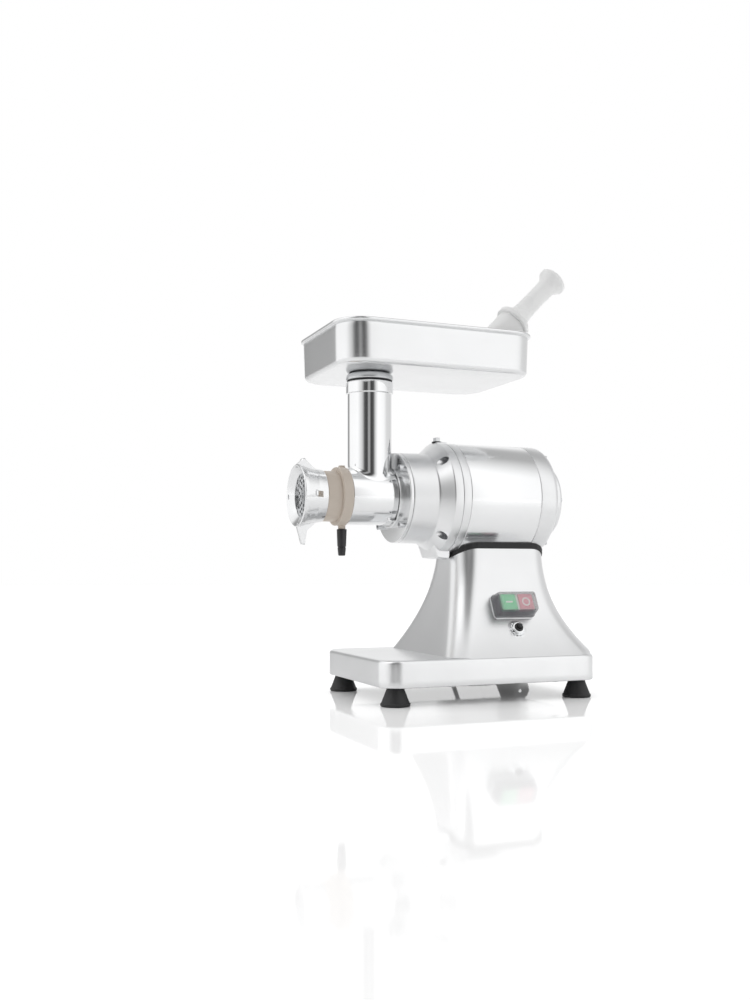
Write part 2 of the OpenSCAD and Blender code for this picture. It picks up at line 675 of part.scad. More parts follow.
module layshaft_wheel() color([0.6, 0.61, 0.63]) place() at_layshaft() difference() {
    gear_x(fast_x, fast_w - 0.3, fast_wheel_teeth, fast_module, 0);
    bar_x(-80, 0, lay_shaft_r);
    around_x(6, 0, 18) rotate([0, 90, 0]) translate([0, 0, -60]) cylinder(h = 80, r = 5);
}

module output_shaft() color([0.7, 0.71, 0.73]) place() difference() {
    bar_x(-101, slow_x + slow_w + 0.5, out_shaft_r);
    translate([-102, -7.7, axis_z - 7.7]) cube([16, 15.4, 15.4]);
}

module output_wheel() color([0.6, 0.61, 0.63]) place() difference() {
    gear_x(slow_x, slow_w, slow_wheel_teeth, slow_module, 0);
    bar_x(-80, 0, out_shaft_r);
}

/* Head */

module head_outside() {
    bar_x(shoulder_x, hub_front - 0.4, barrel_r);
    bar_x(hub_front - 4, spigot_back, spigot_r);
    bar_x(mouth_x + 1.2, shoulder_x + 1, thread_r - 1.4);
    spin_x([[mouth_x, 0], [mouth_x, thread_r - 1.2], [mouth_x + 1.2, thread_r - 0.2], [mouth_x + 1.2, 0]]);
    for (i = [0:6]) let (x = mouth_x + 2 + i * 2.5)
        spin_x([[x, thread_r - 1.5], [x + 0.8, thread_r], [x + 1.2, thread_r], [x + 2, thread_r - 1.5]]);
    translate([tube_x, 0, axis_z]) cylinder(h = tube_top - axis_z - collar_h, r = tube_r);
    translate([tube_x, 0, 0]) rotate_extrude() polygon([[0, tube_top - collar_h - 1], [tube_r, tube_top - collar_h - 1],
        [tube_r, tube_top - collar_h], [collar_r - 0.6, tube_top - collar_h + 0.6],
        [collar_r, tube_top - collar_h + 2], [collar_r, tube_top - 3], [collar_r - 1.6, tube_top], [0, tube_top]]);
    for (s = [0, 180]) for (a = [54, 126]) translate([0, 0, axis_z]) rotate([a + s, 0, 0])
        translate([hub_front - 12.4, -1.8, barrel_r - 2]) cube([12, 3.6, 5]);
}

module head_casting() color([0.9, 0.91, 0.92]) place() difference() {
    head_outside();
    bar_x(mouth_x - 1, -118, bore_r);
    bar_x(-119, -108, 21);
    bar_x(-109, spigot_back + 1, 14.08);
    bar_x(-107.5, -103.5, 17);
    translate([tube_x, 0, axis_z]) cylinder(h = 200, r = tube_bore_r);
    translate([mouth_x - 1, 0, axis_z + pin_at]) rotate([0, 90, 0]) cylinder(h = 6, r = pin_r);
}

module head_seal() color([0.1, 0.1, 0.1]) place() ring_x(-107.5, -103.5, 14.08, 17);

module guide_pin() color([0.72, 0.73, 0.75]) place() translate([mouth_x - 4.5, 0, axis_z + pin_at])
    rotate([0, 90, 0]) cylinder(h = 9.5, r = pin_r);

// One flight wound round the core
module flight() translate([mouth_x + 7.5, 0, axis_z]) rotate([0, 90, 0])
    linear_extrude(height = flight_len, twist = -360 * flight_len / screw_pitch, slices = 60, $fn = 6)
    polygon([[6, -2], [18, -2.6], [bore_r - 0.8, -2.2], [bore_r - 0.8, 2.2], [18, 2.6], [6, 2]]);

module feed_screw() color([0.84, 0.85, 0.86]) place() {
    flight();
    bar_x(mouth_x + 7, -122, 11);
    bar_x(-130, -118.5, 20.6);
    bar_x(-119, -101.4, 14);
    translate([mouth_x + 0.4, -4.7, axis_z - 4.7]) cube([8, 9.4, 9.4]);
    bar_x(-233.6, mouth_x + 7.5, 4);
    translate([-101.5, -7.4, axis_z - 7.4]) cube([14.5, 14.8, 14.8]);
}

module knife() color([0.72, 0.73, 0.75]) place() translate([mouth_x + 0.3, 0, axis_z]) rotate([0, 90, 0])
    difference() {
    union() {
        cylinder(h = 6, r = 9.5);
        for (i = [0:3]) rotate([0, 0, i * 90]) linear_extrude(height = 5)
            polygon([[-5.5, 6], [5.5, 6], [4.2, bore_r - 1.4], [-1.5, bore_r - 1.4]]);
    }
    translate([-4.75, -4.75, -1]) cube([9.5, 9.5, 9]);
}

module perforated_plate() color([0.7, 0.71, 0.72]) place() translate([0, 0, axis_z]) rotate([0, -90, 0])
    translate([0, 0, -plate_back]) difference() {
    union() {
        cylinder(h = plate_t, r = plate_r);
        cylinder(h = plate_t + 1.2, r = 9.5);
    }
    translate([0, 0, -1]) cylinder(h = plate_t + 4, r = 4.08);
    for (k = [1:hole_rings]) for (i = [0:6 * k + 1]) rotate([0, 0, i * 360 / (6 * k + 2)])
        translate([7 + 6.4 * k, 0, -1]) cylinder(h = plate_t + 4, r = 2.25);
    translate([pin_at, 0, -1]) cylinder(h = plate_t + 4, r = pin_r + 0.35);
    translate([pin_at, -pin_r - 0.35, -1]) cube([4, 2 * pin_r + 0.7, plate_t + 4]);
}

module nut_wing(a, reach) translate([0, 0, axis_z]) rotate([a, 0, 0]) rotate([90, 0, 0])
    translate([0, 0, -3.5]) linear_extrude(height = 7)
    polygon([[nut_front - 0.5, 36], [nut_front + 0.5, 44], [nut_front + 6, reach - 5], [nut_front + 8, reach],
        [nut_front + 11.5, reach], [nut_front + 14, reach - 10], [nut_front + 17, 45], [nut_front + 26, 36]]);

module ring_nut() color([0.88, 0.89, 0.9]) place() difference() {
    union() {
        spin_x([[nut_front, 31], [nut_front - 0.5, nut_front_r - 1.4], [nut_front + 0.8, nut_front_r],
            [nut_front + 5, nut_front_r - 0.6], [nut_back - 12, 37.6], [nut_back, nut_back_r],
            [nut_back, 31]]);
        nut_wing(180, 67);
        nut_wing(0, 51);
        nut_wing(90, 60);
        nut_wing(-90, 50);
    }
    bar_x(plate_back - plate_t - 0.05, nut_back + 1, nut_bore_r);
    spin_x([[nut_front - 3, 0], [nut_front - 3, 44], [nut_front - 0.5, 40.8],
        [plate_back - plate_t - lip_t, nut_open_r], [plate_back - plate_t + 1, nut_open_r],
        [plate_back - plate_t + 1, 0]]);
}

module release_ring() color([0.72, 0.68, 0.6]) place() difference() {
    union() {
        ring_x(nut_back + 0.4, shoulder_x - 0.4, thread_r + ring_gap, ring_sleeve_r);
        ring_x(shoulder_x - 8, shoulder_x - 0.4, thread_r + ring_gap, ring_flange_r);
        translate([lever_x, 0, axis_z - 45]) cylinder(h = 12, r = 6);
        translate([lever_x, 0, axis_z + 32]) cylinder(h = 11, r = 5);
    }
    bar_x(-260, -150, thread_r + ring_gap);
    translate([lever_x, 0, axis_z - 46]) cylinder(h = 8, r = 3);
    translate([shoulder_x - 0.4, -20, axis_z - 60]) cube([20, 40, 130]);
}

module release_lever() color([0.05, 0.05, 0.05]) place() translate([lever_x, 0, axis_z]) {
    translate([0, 0, -82]) rotate_extrude() polygon([[0, 0], [4.6, 0], [5.6, 1.2], [5.9, 11], [5.3, 11.6],
        [5.3, 12.4], [6.1, 13], [7, 36.9], [0, 36.9]]);
    translate([0, 0, -46]) cylinder(h = 7.8, r = 2.95);
}

module lock_screw() color([0.7, 0.71, 0.73]) place() translate([lock_x, spigot_r + 0.5, axis_z])
    rotate([-90, 0, 0]) cylinder(h = 28.2, r = lock_r);

module lock_knob() color([0.08, 0.08, 0.08]) place() translate([lock_x, 64.7, axis_z]) rotate([-90, 0, 0])
    difference() {
    cylinder(h = 16, r = 13);
    for (i = [0:5]) rotate([0, 0, i * 60]) translate([16, 0, -1]) cylinder(h = 20, r = 6);
}

/* Tray and pusher */

function tray_ring(z, t) = let (s = 1.6 * (tray_top - z) / tray_deep)
    ring_pts(z, tray_x0 + s + t, tray_x0 + tray_len - s - t, tray_y0 + s + t, tray_y0 + tray_wid - s - t, tray_r - t, 7);

module feed_tray() color([0.8, 0.81, 0.82]) place() difference() {
    union() {
        loft([tray_ring(tray_bottom, 6), tray_ring(tray_bottom + 0.8, 3), tray_ring(tray_bottom + 3, 0.8),
            tray_ring(tray_bottom + 6, 0.1), tray_ring(tray_top, 0)]);
        loft([tray_ring(tray_top - 5.4, 0.4), tray_ring(tray_top - 4, -3), tray_ring(tray_top - 1, -3.6),
            tray_ring(tray_top, -3)]);
    }
    loft([tray_ring(tray_bottom + tray_t, 6), tray_ring(tray_bottom + tray_t + 0.7, 3.6),
        tray_ring(tray_bottom + tray_t + 2.4, 1.9), tray_ring(tray_bottom + 6, tray_t),
        tray_ring(tray_top + 1, tray_t)]);
    translate([tube_x, 0, tray_bottom - 2]) cylinder(h = 8, r = neck_bore_r);
}

module tray_neck() color([0.82, 0.83, 0.84]) place() translate([tube_x, 0, 0]) rotate_extrude()
    polygon([[neck_bore_r, tray_bottom - 0.05], [27, tray_bottom - 0.05], [30.5, tray_bottom - 1.5],
        [neck_tube_r - 0.6, tray_bottom - 5], [neck_tube_r, tray_bottom - 9], [neck_tube_r, tube_top + 3.2],
        [neck_tube_r - 1, tube_top + 2.4], [27.5, tube_top + 2.4], [27.5, tube_top + 0.3], [tube_bore_r - 0.3, tube_top + 0.3],
        [tube_bore_r - 0.3, tube_top - 18], [neck_bore_r, tube_top - 18]]);

// The pusher's own axis is +Z here, with its tip at the origin
module pusher_solid() rotate_extrude() polygon([[0, 0], [pusher_r - 2, 0], [pusher_r, 2],
    [pusher_r, stomp_len - 1], [26.5, stomp_len], [26.5, stomp_len + 7], [25, stomp_len + 9], [17, stomp_len + 9.5],
    [15, stomp_len + 14], [13.4, stomp_len + 60], [14.4, stomp_len + handle_len - 16],
    [17.5, stomp_len + handle_len - 8], [21.5, stomp_len + handle_len - 5], [21.5, stomp_len + handle_len - 1.2],
    [20.3, stomp_len + handle_len], [0, stomp_len + handle_len]]);

module pusher() color([0.95, 0.95, 0.94]) place() translate(pusher_tip) rotate([0, pusher_lean, 0])
    pusher_solid();

/* Plug */

module at_plug() translate(plug_at) rotate([0, 0, 90]) children();

module mains_plug() color([0.05, 0.05, 0.05]) place() at_plug() {
    translate([0, 0, 18.6]) rotate([0, 90, 0]) cylinder(h = 22, r = 18.5);
    translate([21.9, 0, 18.6]) rotate([0, 90, 0]) cylinder(h = 26, r1 = 13, r2 = 6);
}

module plug_pins() color([0.8, 0.81, 0.82]) place() at_plug() for (s = [-1, 1])
    translate([-19, s * 9.5, 18.6]) rotate([0, 90, 0]) cylinder(h = 19, r = 2.4);

base_casting();
bottom_cover();
bottom_cover_screws();
rubber_feet();
foot_screws();
saddle_gasket();
saddle_screws();
motor_shell();
rear_cap();
fan_cowl();
cowl_screws();
stator_core();
stator_windings();
front_motor_bearing();
rear_motor_bearing();
gearbox_housing();
gearbox_cover();
cover_screws();
flange_bolts();
oil_plug();
oil_plug_washer();
layshaft_bearings();
output_bearings();
shaft_seal();
run_capacitor();
terminal_block();
switch_body();
switch_boot();
breaker_body();
breaker_ring();
cable_gland();
mains_cord();
cord_coil();
mains_plug();
plug_pins();
rotor_core();
motor_shaft();
cooling_fan();
layshaft();
layshaft_wheel();
output_shaft();
output_wheel();
head_casting();
head_seal();
guide_pin();
feed_screw();
knife();
perforated_plate();
ring_nut();
release_ring();
release_lever();
lock_screw();
lock_knob();
feed_tray();
tray_neck();
pusher();
start_button();
stop_button();
reset_button();
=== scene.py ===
"""Electric meat grinder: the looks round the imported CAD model.

Shapes are written in millimetres from the feet's centre, as the CAD is, and place() brings them into
the row frame.
"""

import json
import math

import bmesh
import bpy
from mathutils import Matrix, Vector


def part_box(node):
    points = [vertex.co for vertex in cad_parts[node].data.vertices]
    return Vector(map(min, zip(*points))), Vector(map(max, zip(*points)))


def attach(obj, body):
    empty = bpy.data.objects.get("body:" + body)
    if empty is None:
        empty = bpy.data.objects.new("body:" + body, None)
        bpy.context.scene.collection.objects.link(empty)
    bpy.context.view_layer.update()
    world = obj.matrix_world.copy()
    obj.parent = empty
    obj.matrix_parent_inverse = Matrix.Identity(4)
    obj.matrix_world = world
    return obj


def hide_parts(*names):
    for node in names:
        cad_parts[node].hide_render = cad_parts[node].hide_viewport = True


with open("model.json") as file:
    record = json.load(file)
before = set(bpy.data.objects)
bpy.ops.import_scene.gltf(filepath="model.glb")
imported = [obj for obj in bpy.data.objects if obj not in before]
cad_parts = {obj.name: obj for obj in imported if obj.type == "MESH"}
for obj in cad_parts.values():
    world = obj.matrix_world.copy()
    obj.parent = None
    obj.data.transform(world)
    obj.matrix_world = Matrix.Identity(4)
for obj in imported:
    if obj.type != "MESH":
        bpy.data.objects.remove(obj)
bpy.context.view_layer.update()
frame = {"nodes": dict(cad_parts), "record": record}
nodes = frame["nodes"]


# ---------------------------------------------------------------- frame

MM = 0.001
feet_low, feet_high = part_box("rubber_feet")
FEET = Vector(((feet_low.x + feet_high.x) / 2, (feet_low.y + feet_high.y) / 2, 0))
shell_low, shell_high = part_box("motor_shell")
AXIS_Z = (shell_low.z + shell_high.z) / 2 / MM

# Stations along the screw axis, as in the CAD
COVER_FRONT, COVER_BACK = -102, -96
HUB_FRONT, HUB_R = -108, 42.5
FLANGE_BACK, SHELL_BACK, CAP_BACK = -16.7, 94, 124
MOTOR_R, NOSE_R = 80, 63.5
BARREL_R, BORE_R, THREAD_R = 39, 29, 32.6
SHOULDER_X, MOUTH_X = -174.6, -227.7
TUBE_X, TUBE_TOP, TUBE_R, TUBE_BORE_R, COLLAR_R = -137, 441, 31, 26, 33.2
NUT_BACK, NUT_FRONT = -210, -245
LEVER_X = -178.6
TRAY_TOP, TRAY_DEEP = 512.5, 59
TRAY_X, TRAY_Y, TRAY_R = (-206, 85), (-84, 118), 38
TRAY_BOTTOM = TRAY_TOP - TRAY_DEEP
PUSHER_TIP = (10.5, -20, 470.6)
FOOT_X, FOOT_Y = 139.5, 97.5
OIL_PLUG_X = -33
CAMERA_TURN = 22.17


def place(point):
    """A point in millimetres from the feet's centre, in the row frame."""
    return FEET + Vector(point) * MM


ALONG_X = Matrix.Translation((0, 0, AXIS_Z)) @ Matrix.Rotation(math.pi / 2, 4, "Y")
SWITCH = Matrix.Translation((50, -72.8, 127.3)) @ Matrix.Rotation(math.radians(90 - 26), 4, "X")
RESET = Matrix.Translation((48.5, -89, 96.4)) @ Matrix.Rotation(math.radians(90 - 33), 4, "X")
PUSHER = Matrix.Translation(PUSHER_TIP) @ Matrix.Rotation(math.radians(45), 4, "Y")


def upright(x, y, z=0):
    return Matrix.Translation((x, y, z))


# ---------------------------------------------------------------- shapes

def rounded(points, steps=5):
    """A closed outline with its corners rounded; each point is (a, b) or (a, b, radius)."""
    out = []
    for i, point in enumerate(points):
        radius = point[2] if len(point) > 2 else 0
        if not radius:
            out.append((point[0], point[1]))
            continue
        here = Vector(point[:2])
        before = (Vector(points[i - 1][:2]) - here).normalized()
        after = (Vector(points[(i + 1) % len(points)][:2]) - here).normalized()
        half = before.angle(after) / 2
        centre = here + (before + after).normalized() * (radius / math.sin(half))
        start = here + before * (radius / math.tan(half)) - centre
        end = here + after * (radius / math.tan(half)) - centre
        turn = start.angle_signed(end)
        for k in range(steps + 1):
            arm = start.copy()
            arm.rotate(Matrix.Rotation(-turn * k / steps, 2))
            out.append(tuple(centre + arm))
    return out


def rect_ring(z, x0, x1, y0, y1, r, corner=12, along=10):
    """A rounded rectangle at height z, as one ring of points."""
    ring = []
    centres = ((x1 - r, y1 - r), (x0 + r, y1 - r), (x0 + r, y0 + r), (x1 - r, y0 + r))
    for c, (cx, cy) in enumerate(centres):
        for k in range(corner + 1):
            a = math.radians(90 * c + 90 * k / corner)
            ring.append(Vector((cx + r * math.cos(a), cy + r * math.sin(a), z)))
        nx, ny = centres[(c + 1) % 4]
        a = math.radians(90 * (c + 1))
        end = Vector((nx + r * math.cos(a), ny + r * math.sin(a), z))
        start = ring[-1]
        ring += [start.lerp(end, k / along) for k in range(1, along)]
    return ring


def circle(z, r, count=96):
    return [Vector((r * math.cos(2 * math.pi * k / count), r * math.sin(2 * math.pi * k / count), z))
            for k in range(count)]


class Shape:
    """Points and faces of one piece, in millimetres from the feet's centre."""

    def __init__(self):
        self.points = []
        self.faces = []

    def add(self, points, faces, matrix=None):
        base = len(self.points)
        self.points += [matrix @ Vector(p) if matrix else Vector(p) for p in points]
        self.faces += [[base + i for i in face] for face in faces]
        return self

    def loft(self, rings, matrix=None, ends=(True, True), loop=False):
        """Quads from ring to ring; ends says which ends are closed, loop joins the last ring to the first."""
        n = len(rings[0])
        m = len(rings)
        faces = []
        for k in range(m if loop else m - 1):
            a, b = k * n, (k + 1) % m * n
            faces += [[a + i, a + (i + 1) % n, b + (i + 1) % n, b + i] for i in range(n)]
        if not loop:
            if ends[0]:
                faces.append(list(range(n))[::-1])
            if ends[1]:
                faces.append([(m - 1) * n + i for i in range(n)])
        return self.add([p for ring in rings for p in ring], faces, matrix)

    def lathe(self, outline, matrix=None, count=128):
        """A closed outline of (height, radius) points turned about the local Z axis."""
        return self.loft([circle(z, max(r, 1e-4), count) for z, r in outline], matrix, loop=True)

    def rod(self, z0, z1, r, edge=0.6, matrix=None, count=48):
        """A solid cylinder along local Z with eased edges."""
        outline = rounded([(z0, 0), (z0, r, edge), (z1, r, edge), (z1, 0)], 3)
        return self.lathe(outline, matrix, count)

    def prism(self, outline, z0, z1, matrix=None, edge=0.0):
        """An outline of (x, y) points pushed from z0 to z1, its rims eased inwards by edge."""
        centre = sum((Vector(p) for p in outline), Vector((0, 0))) / len(outline)

        def level(z, inset):
            ring = []
            for p in outline:
                arm = Vector(p) - centre
                ring.append(Vector((*(centre + arm * (1 - inset / max(arm.length, 1e-6))), z)))
            return ring
        rings = [level(z0, edge), level(z0 + edge, 0), level(z1 - edge, 0), level(z1, edge)] if edge else [
            level(z0, 0), level(z1, 0)]
        return self.loft(rings, matrix)


def to_object(name, shape, smooth=32):
    mesh = bpy.data.meshes.new(name)
    mesh.from_pydata([place(p) for p in shape.points], [], shape.faces)
    bm = bmesh.new()
    bm.from_mesh(mesh)
    bmesh.ops.remove_doubles(bm, verts=bm.verts, dist=2e-6)
    bmesh.ops.dissolve_degenerate(bm, edges=bm.edges, dist=1e-6)
    bmesh.ops.recalc_face_normals(bm, faces=bm.faces)
    bm.to_mesh(mesh)
    bm.free()
    obj = bpy.data.objects.new(name, mesh)
    bpy.context.scene.collection.objects.link(obj)
    soften(obj, smooth)
    return obj


def soften(obj, angle):
    """Smooth shading that keeps edges sharper than angle crisp."""
    obj.data.shade_smooth()
    obj.data.set_sharp_from_angle(angle=math.radians(angle))


def cut(obj, shape):
    """Takes shape out of obj for good."""
    tool = to_object("cutter", shape)
    modifier = obj.modifiers.new("cut", "BOOLEAN")
    modifier.object = tool
    modifier.operation = "DIFFERENCE"
    modifier.solver = "EXACT"
    bpy.context.view_layer.update()
    made = bpy.data.meshes.new_from_object(obj.evaluated_get(bpy.context.evaluated_depsgraph_get()))
    obj.modifiers.clear()
    obj.data = made
    bpy.data.objects.remove(tool)
    soften(obj, 32)


def finish_piece(obj, body, material, replaces=()):
    obj.data.materials.clear()
    obj.data.materials.append(material)
    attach(obj, body)
    if replaces:
        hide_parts(*replaces)
    return obj


def piece(name, shape, body, material, replaces=(), smooth=32):
    return finish_piece(to_object(name, shape, smooth), body, material, replaces)


# ---------------------------------------------------------------- materials

def material(name, colour, metallic=0.0, roughness=0.5, alpha=1.0, **inputs):
    """A principled material; further inputs are set on the shader's own sockets."""
    made = bpy.data.materials.new(name)
    made.use_nodes = True
    shader = made.node_tree.nodes["Principled BSDF"]
    shader.inputs["Base Color"].default_value = (*colour, 1)
    shader.inputs["Metallic"].default_value = metallic
    shader.inputs["Roughness"].default_value = roughness
    shader.inputs["Alpha"].default_value = alpha
    for key, value in inputs.items():
        shader.inputs[key].default_value = value
    return made


def noise(made, scale, stretch=(1, 1, 1), detail=3.0):
    """A noise texture in the object's own coordinates, stretched by axis."""
    tree = made.node_tree
    coords = tree.nodes.new("ShaderNodeTexCoord")
    mapping = tree.nodes.new("ShaderNodeMapping")
    mapping.inputs["Scale"].default_value = stretch
    texture = tree.nodes.new("ShaderNodeTexNoise")
    texture.inputs["Scale"].default_value = scale
    texture.inputs["Detail"].default_value = detail
    tree.links.new(coords.outputs["Object"], mapping.inputs["Vector"])
    tree.links.new(mapping.outputs["Vector"], texture.inputs["Vector"])
    return texture


def vary_roughness(made, texture, low, high):
    tree = made.node_tree
    spread = tree.nodes.new("ShaderNodeMapRange")
    spread.inputs["To Min"].default_value = low
    spread.inputs["To Max"].default_value = high
    tree.links.new(texture.outputs["Fac"], spread.inputs["Value"])
    tree.links.new(spread.outputs["Result"], tree.nodes["Principled BSDF"].inputs["Roughness"])


def vary_colour(made, texture, dark, light):
    tree = made.node_tree
    ramp = tree.nodes.new("ShaderNodeValToRGB")
    ramp.color_ramp.elements[0].position = 0.3
    ramp.color_ramp.elements[0].color = (*dark, 1)
    ramp.color_ramp.elements[1].position = 0.7
    ramp.color_ramp.elements[1].color = (*light, 1)
    tree.links.new(texture.outputs["Fac"], ramp.inputs["Fac"])
    tree.links.new(ramp.outputs["Color"], tree.nodes["Principled BSDF"].inputs["Base Color"])


def bump(made, texture, strength, distance):
    tree = made.node_tree
    node = tree.nodes.new("ShaderNodeBump")
    node.inputs["Strength"].default_value = strength
    node.inputs["Distance"].default_value = distance
    tree.links.new(texture.outputs["Fac"], node.inputs["Height"])
    tree.links.new(node.outputs["Normal"], tree.nodes["Principled BSDF"].inputs["Normal"])


def grained_metal(name, light, dark, rough, grain, stretch, depth, patch=9.0):
    """Metal with fine grain in its relief and gloss, and broad, faint patches in its colour."""
    made = material(name, light, metallic=1.0, roughness=rough[0])
    fine = noise(made, grain, stretch)
    broad = noise(made, patch)
    vary_roughness(made, fine, *rough)
    vary_colour(made, broad, dark, light)
    bump(made, fine, 0.25, depth)
    return made


def plastic(name, colour, dark, rough, grain=900.0, depth=0.00004, **inputs):
    made = material(name, colour, roughness=rough[0], **inputs)
    fine = noise(made, grain)
    broad = noise(made, 14.0)
    vary_roughness(made, broad, *rough)
    vary_colour(made, broad, dark, colour)
    bump(made, fine, 0.3, depth)
    return made


CAST = grained_metal("cast_aluminium", (0.86, 0.865, 0.87), (0.80, 0.805, 0.81), (0.26, 0.36),
                     700, (1, 1, 1), 0.00004)
MACHINED = grained_metal("machined_aluminium", (0.84, 0.845, 0.85), (0.78, 0.785, 0.79), (0.2, 0.3),
                         300, (1, 9, 9), 0.00003)
SHELL = grained_metal("polished_shell", (0.88, 0.885, 0.89), (0.84, 0.845, 0.85), (0.11, 0.19),
                      160, (16, 1, 1), 0.00002)
MIRROR = grained_metal("polished_head", (0.87, 0.875, 0.88), (0.82, 0.825, 0.83), (0.05, 0.11),
                       240, (1, 1, 1), 0.00001)
SATIN = grained_metal("satin_head", (0.84, 0.845, 0.85), (0.79, 0.795, 0.8), (0.15, 0.24),
                      240, (1, 1, 1), 0.00001)
SHEET = grained_metal("tray_sheet", (0.84, 0.845, 0.85), (0.79, 0.795, 0.80), (0.18, 0.27),
                      220, (0.3, 0.3, 9), 0.00002)
ZINC = grained_metal("zinc_screws", (0.72, 0.73, 0.74), (0.62, 0.63, 0.64), (0.22, 0.34),
                     900, (1, 1, 1), 0.00002)
BLADE = grained_metal("ground_steel", (0.62, 0.63, 0.64), (0.54, 0.55, 0.56), (0.2, 0.32),
                      700, (1, 8, 8), 0.00002)
GEAR = grained_metal("gear_steel", (0.42, 0.43, 0.45), (0.34, 0.35, 0.37), (0.3, 0.44),
                     500, (1, 6, 6), 0.00003)
IRON = grained_metal("lamination", (0.26, 0.27, 0.29), (0.2, 0.21, 0.22), (0.4, 0.55),
                     1500, (40, 1, 1), 0.00005)
COPPER = grained_metal("copper_wire", (0.72, 0.36, 0.16), (0.58, 0.27, 0.11), (0.3, 0.45),
                       900, (9, 1, 1), 0.0001)
CHROME = grained_metal("bright_chrome", (0.88, 0.89, 0.9), (0.84, 0.85, 0.86), (0.04, 0.09),
                       300, (1, 1, 1), 0.00001)
RUBBER = plastic("black_rubber", (0.022, 0.022, 0.023), (0.015, 0.015, 0.016), (0.45, 0.62), 1400, 0.00006)
CABLE = plastic("cable_rubber", (0.018, 0.018, 0.019), (0.012, 0.012, 0.013), (0.35, 0.5), 1200, 0.00003)
BLACK = plastic("black_plastic", (0.025, 0.025, 0.027), (0.018, 0.018, 0.02), (0.3, 0.42))
GREY = plastic("grey_plastic", (0.045, 0.045, 0.048), (0.035, 0.035, 0.037), (0.35, 0.48))
BEIGE = plastic("beige_coat", (0.66, 0.585, 0.51), (0.61, 0.535, 0.46), (0.34, 0.46), 1100, 0.00005)
WHITE = plastic("white_plastic", (0.98, 0.98, 0.975), (0.95, 0.955, 0.95), (0.24, 0.34), 500, 0.00003)
LIGHT = plastic("light_plastic", (0.82, 0.82, 0.78), (0.76, 0.76, 0.72), (0.4, 0.5))
GREEN = plastic("green_button", (0.07, 0.74, 0.3), (0.06, 0.68, 0.27), (0.2, 0.3))
RED = plastic("red_button", (0.82, 0.22, 0.3), (0.76, 0.19, 0.27), (0.2, 0.3))
MARK = plastic("button_mark", (0.88, 0.88, 0.86), (0.84, 0.84, 0.82), (0.3, 0.4))
BOOT = plastic("clear_boot", (0.95, 0.96, 0.96), (0.9, 0.91, 0.91), (0.06, 0.14), 300, 0.00002)
SMOKE = plastic("boot_wall", (0.3, 0.3, 0.32), (0.26, 0.26, 0.28), (0.12, 0.2), 300, 0.00002)
WHITE.node_tree.nodes["Principled BSDF"].inputs["Subsurface Weight"].default_value = 0.25
WHITE.node_tree.nodes["Principled BSDF"].inputs["Subsurface Radius"].default_value = (0.01, 0.01, 0.01)
BOOT.node_tree.nodes["Principled BSDF"].inputs["Alpha"].default_value = 0.2
SMOKE.node_tree.nodes["Principled BSDF"].inputs["Alpha"].default_value = 0.5

SLOT_LOOK = {
    "cast_satin": CAST, "polished_shell": SHELL, "polished_head": MIRROR, "tray_steel": SHEET,
    "screw_steel": ZINC,
    "blade_steel": BLADE, "gear_steel": GEAR, "lamination": IRON, "copper_wire": COPPER, "bearing_steel": BLADE,
    "black_rubber": RUBBER, "black_plastic": BLACK, "grey_plastic": GREY, "beige_coat": BEIGE,
    "white_plastic": WHITE, "clear_boot": BOOT, "green_button": GREEN, "red_button": RED, "chrome_trim": CHROME,
    "light_plastic": LIGHT,
}


# ---------------------------------------------------------------- camera

def make_camera():
    """The photograph's viewpoint: level, a little to the outlet's side, low enough to see under the tray."""
    data = bpy.data.cameras.new("camera")
    data.lens = 37.79
    data.sensor_width = 36
    data.shift_y = 0.0691
    camera = bpy.data.objects.new("camera", data)
    camera.location = place((-685.4, -1366.1, 180))
    camera.rotation_euler = (math.pi / 2, 0, -math.radians(CAMERA_TURN))
    bpy.context.scene.collection.objects.link(camera)
    bpy.context.scene.camera = camera


# ---------------------------------------------------------------- cord

CORD_D = 7
COIL = Vector((146, 236))
COIL_IN, COIL_OUT = 29, 51
PLUG = (194.6, 158, 0.1)
LEAD = [(88, 120, 44), (88, 128, 44), (88, 138, 44), (88, 148, 44), (88, 157, 42.6), (88, 165, 38.6),
        (88, 172, 32.4), (88, 178, 25), (88, 184, 17.4), (88, 191, 10.8), (88, 199, 6.2), (88, 208, 4.2),
        (88, 218, 3.6), (88, 228, 3.6)]
CORD_END = [(194.6, 226, 11.8), (194.6, 216, 15.4), (194.6, 206, 18.2), (194.6, 196, 18.7)]


def coil_point(turn):
    """Where the coil's line is after so many turns: in along the table, up, and out again on top."""
    pitch = CORD_D
    inward = 0.25 + (COIL_OUT - COIL_IN) / pitch
    outward = inward + 0.3
    low, high = CORD_D / 2 + 0.1, CORD_D * 1.5 + 0.1
    if turn < 0.25:
        s = turn / 0.25
        r, z = COIL_OUT + 7 * (1 - s * s * (3 - 2 * s)), low
    elif turn < inward:
        r, z = COIL_OUT - pitch * (turn - 0.25), low
    elif turn < outward:
        s = (turn - inward) / 0.3
        r, z = COIL_IN, low + (high - low) * s * s * (3 - 2 * s)
    else:
        r, z = COIL_IN + pitch * (turn - outward), high
    a = math.pi - 2 * math.pi * turn
    return (COIL.x + r * math.cos(a), COIL.y + r * math.sin(a), z)


def coil_path():
    steps_a_turn = 32
    turns = 6.5
    return [coil_point(k / steps_a_turn) for k in range(int(turns * steps_a_turn) + 1)]


def smooth_line(points, steps=4):
    """A Catmull-Rom line through points."""
    p = [Vector(q) for q in points]
    p = [p[0] * 2 - p[1], *p, p[-1] * 2 - p[-2]]
    out = []
    for i in range(1, len(p) - 2):
        a, b, c, d = p[i - 1:i + 3]
        for k in range(steps):
            t = k / steps
            out.append(0.5 * (2 * b + (c - a) * t + (2 * a - 5 * b + 4 * c - d) * t ** 2
                              + (3 * b - a - 3 * c + d) * t ** 3))
    return out + [p[-2]]


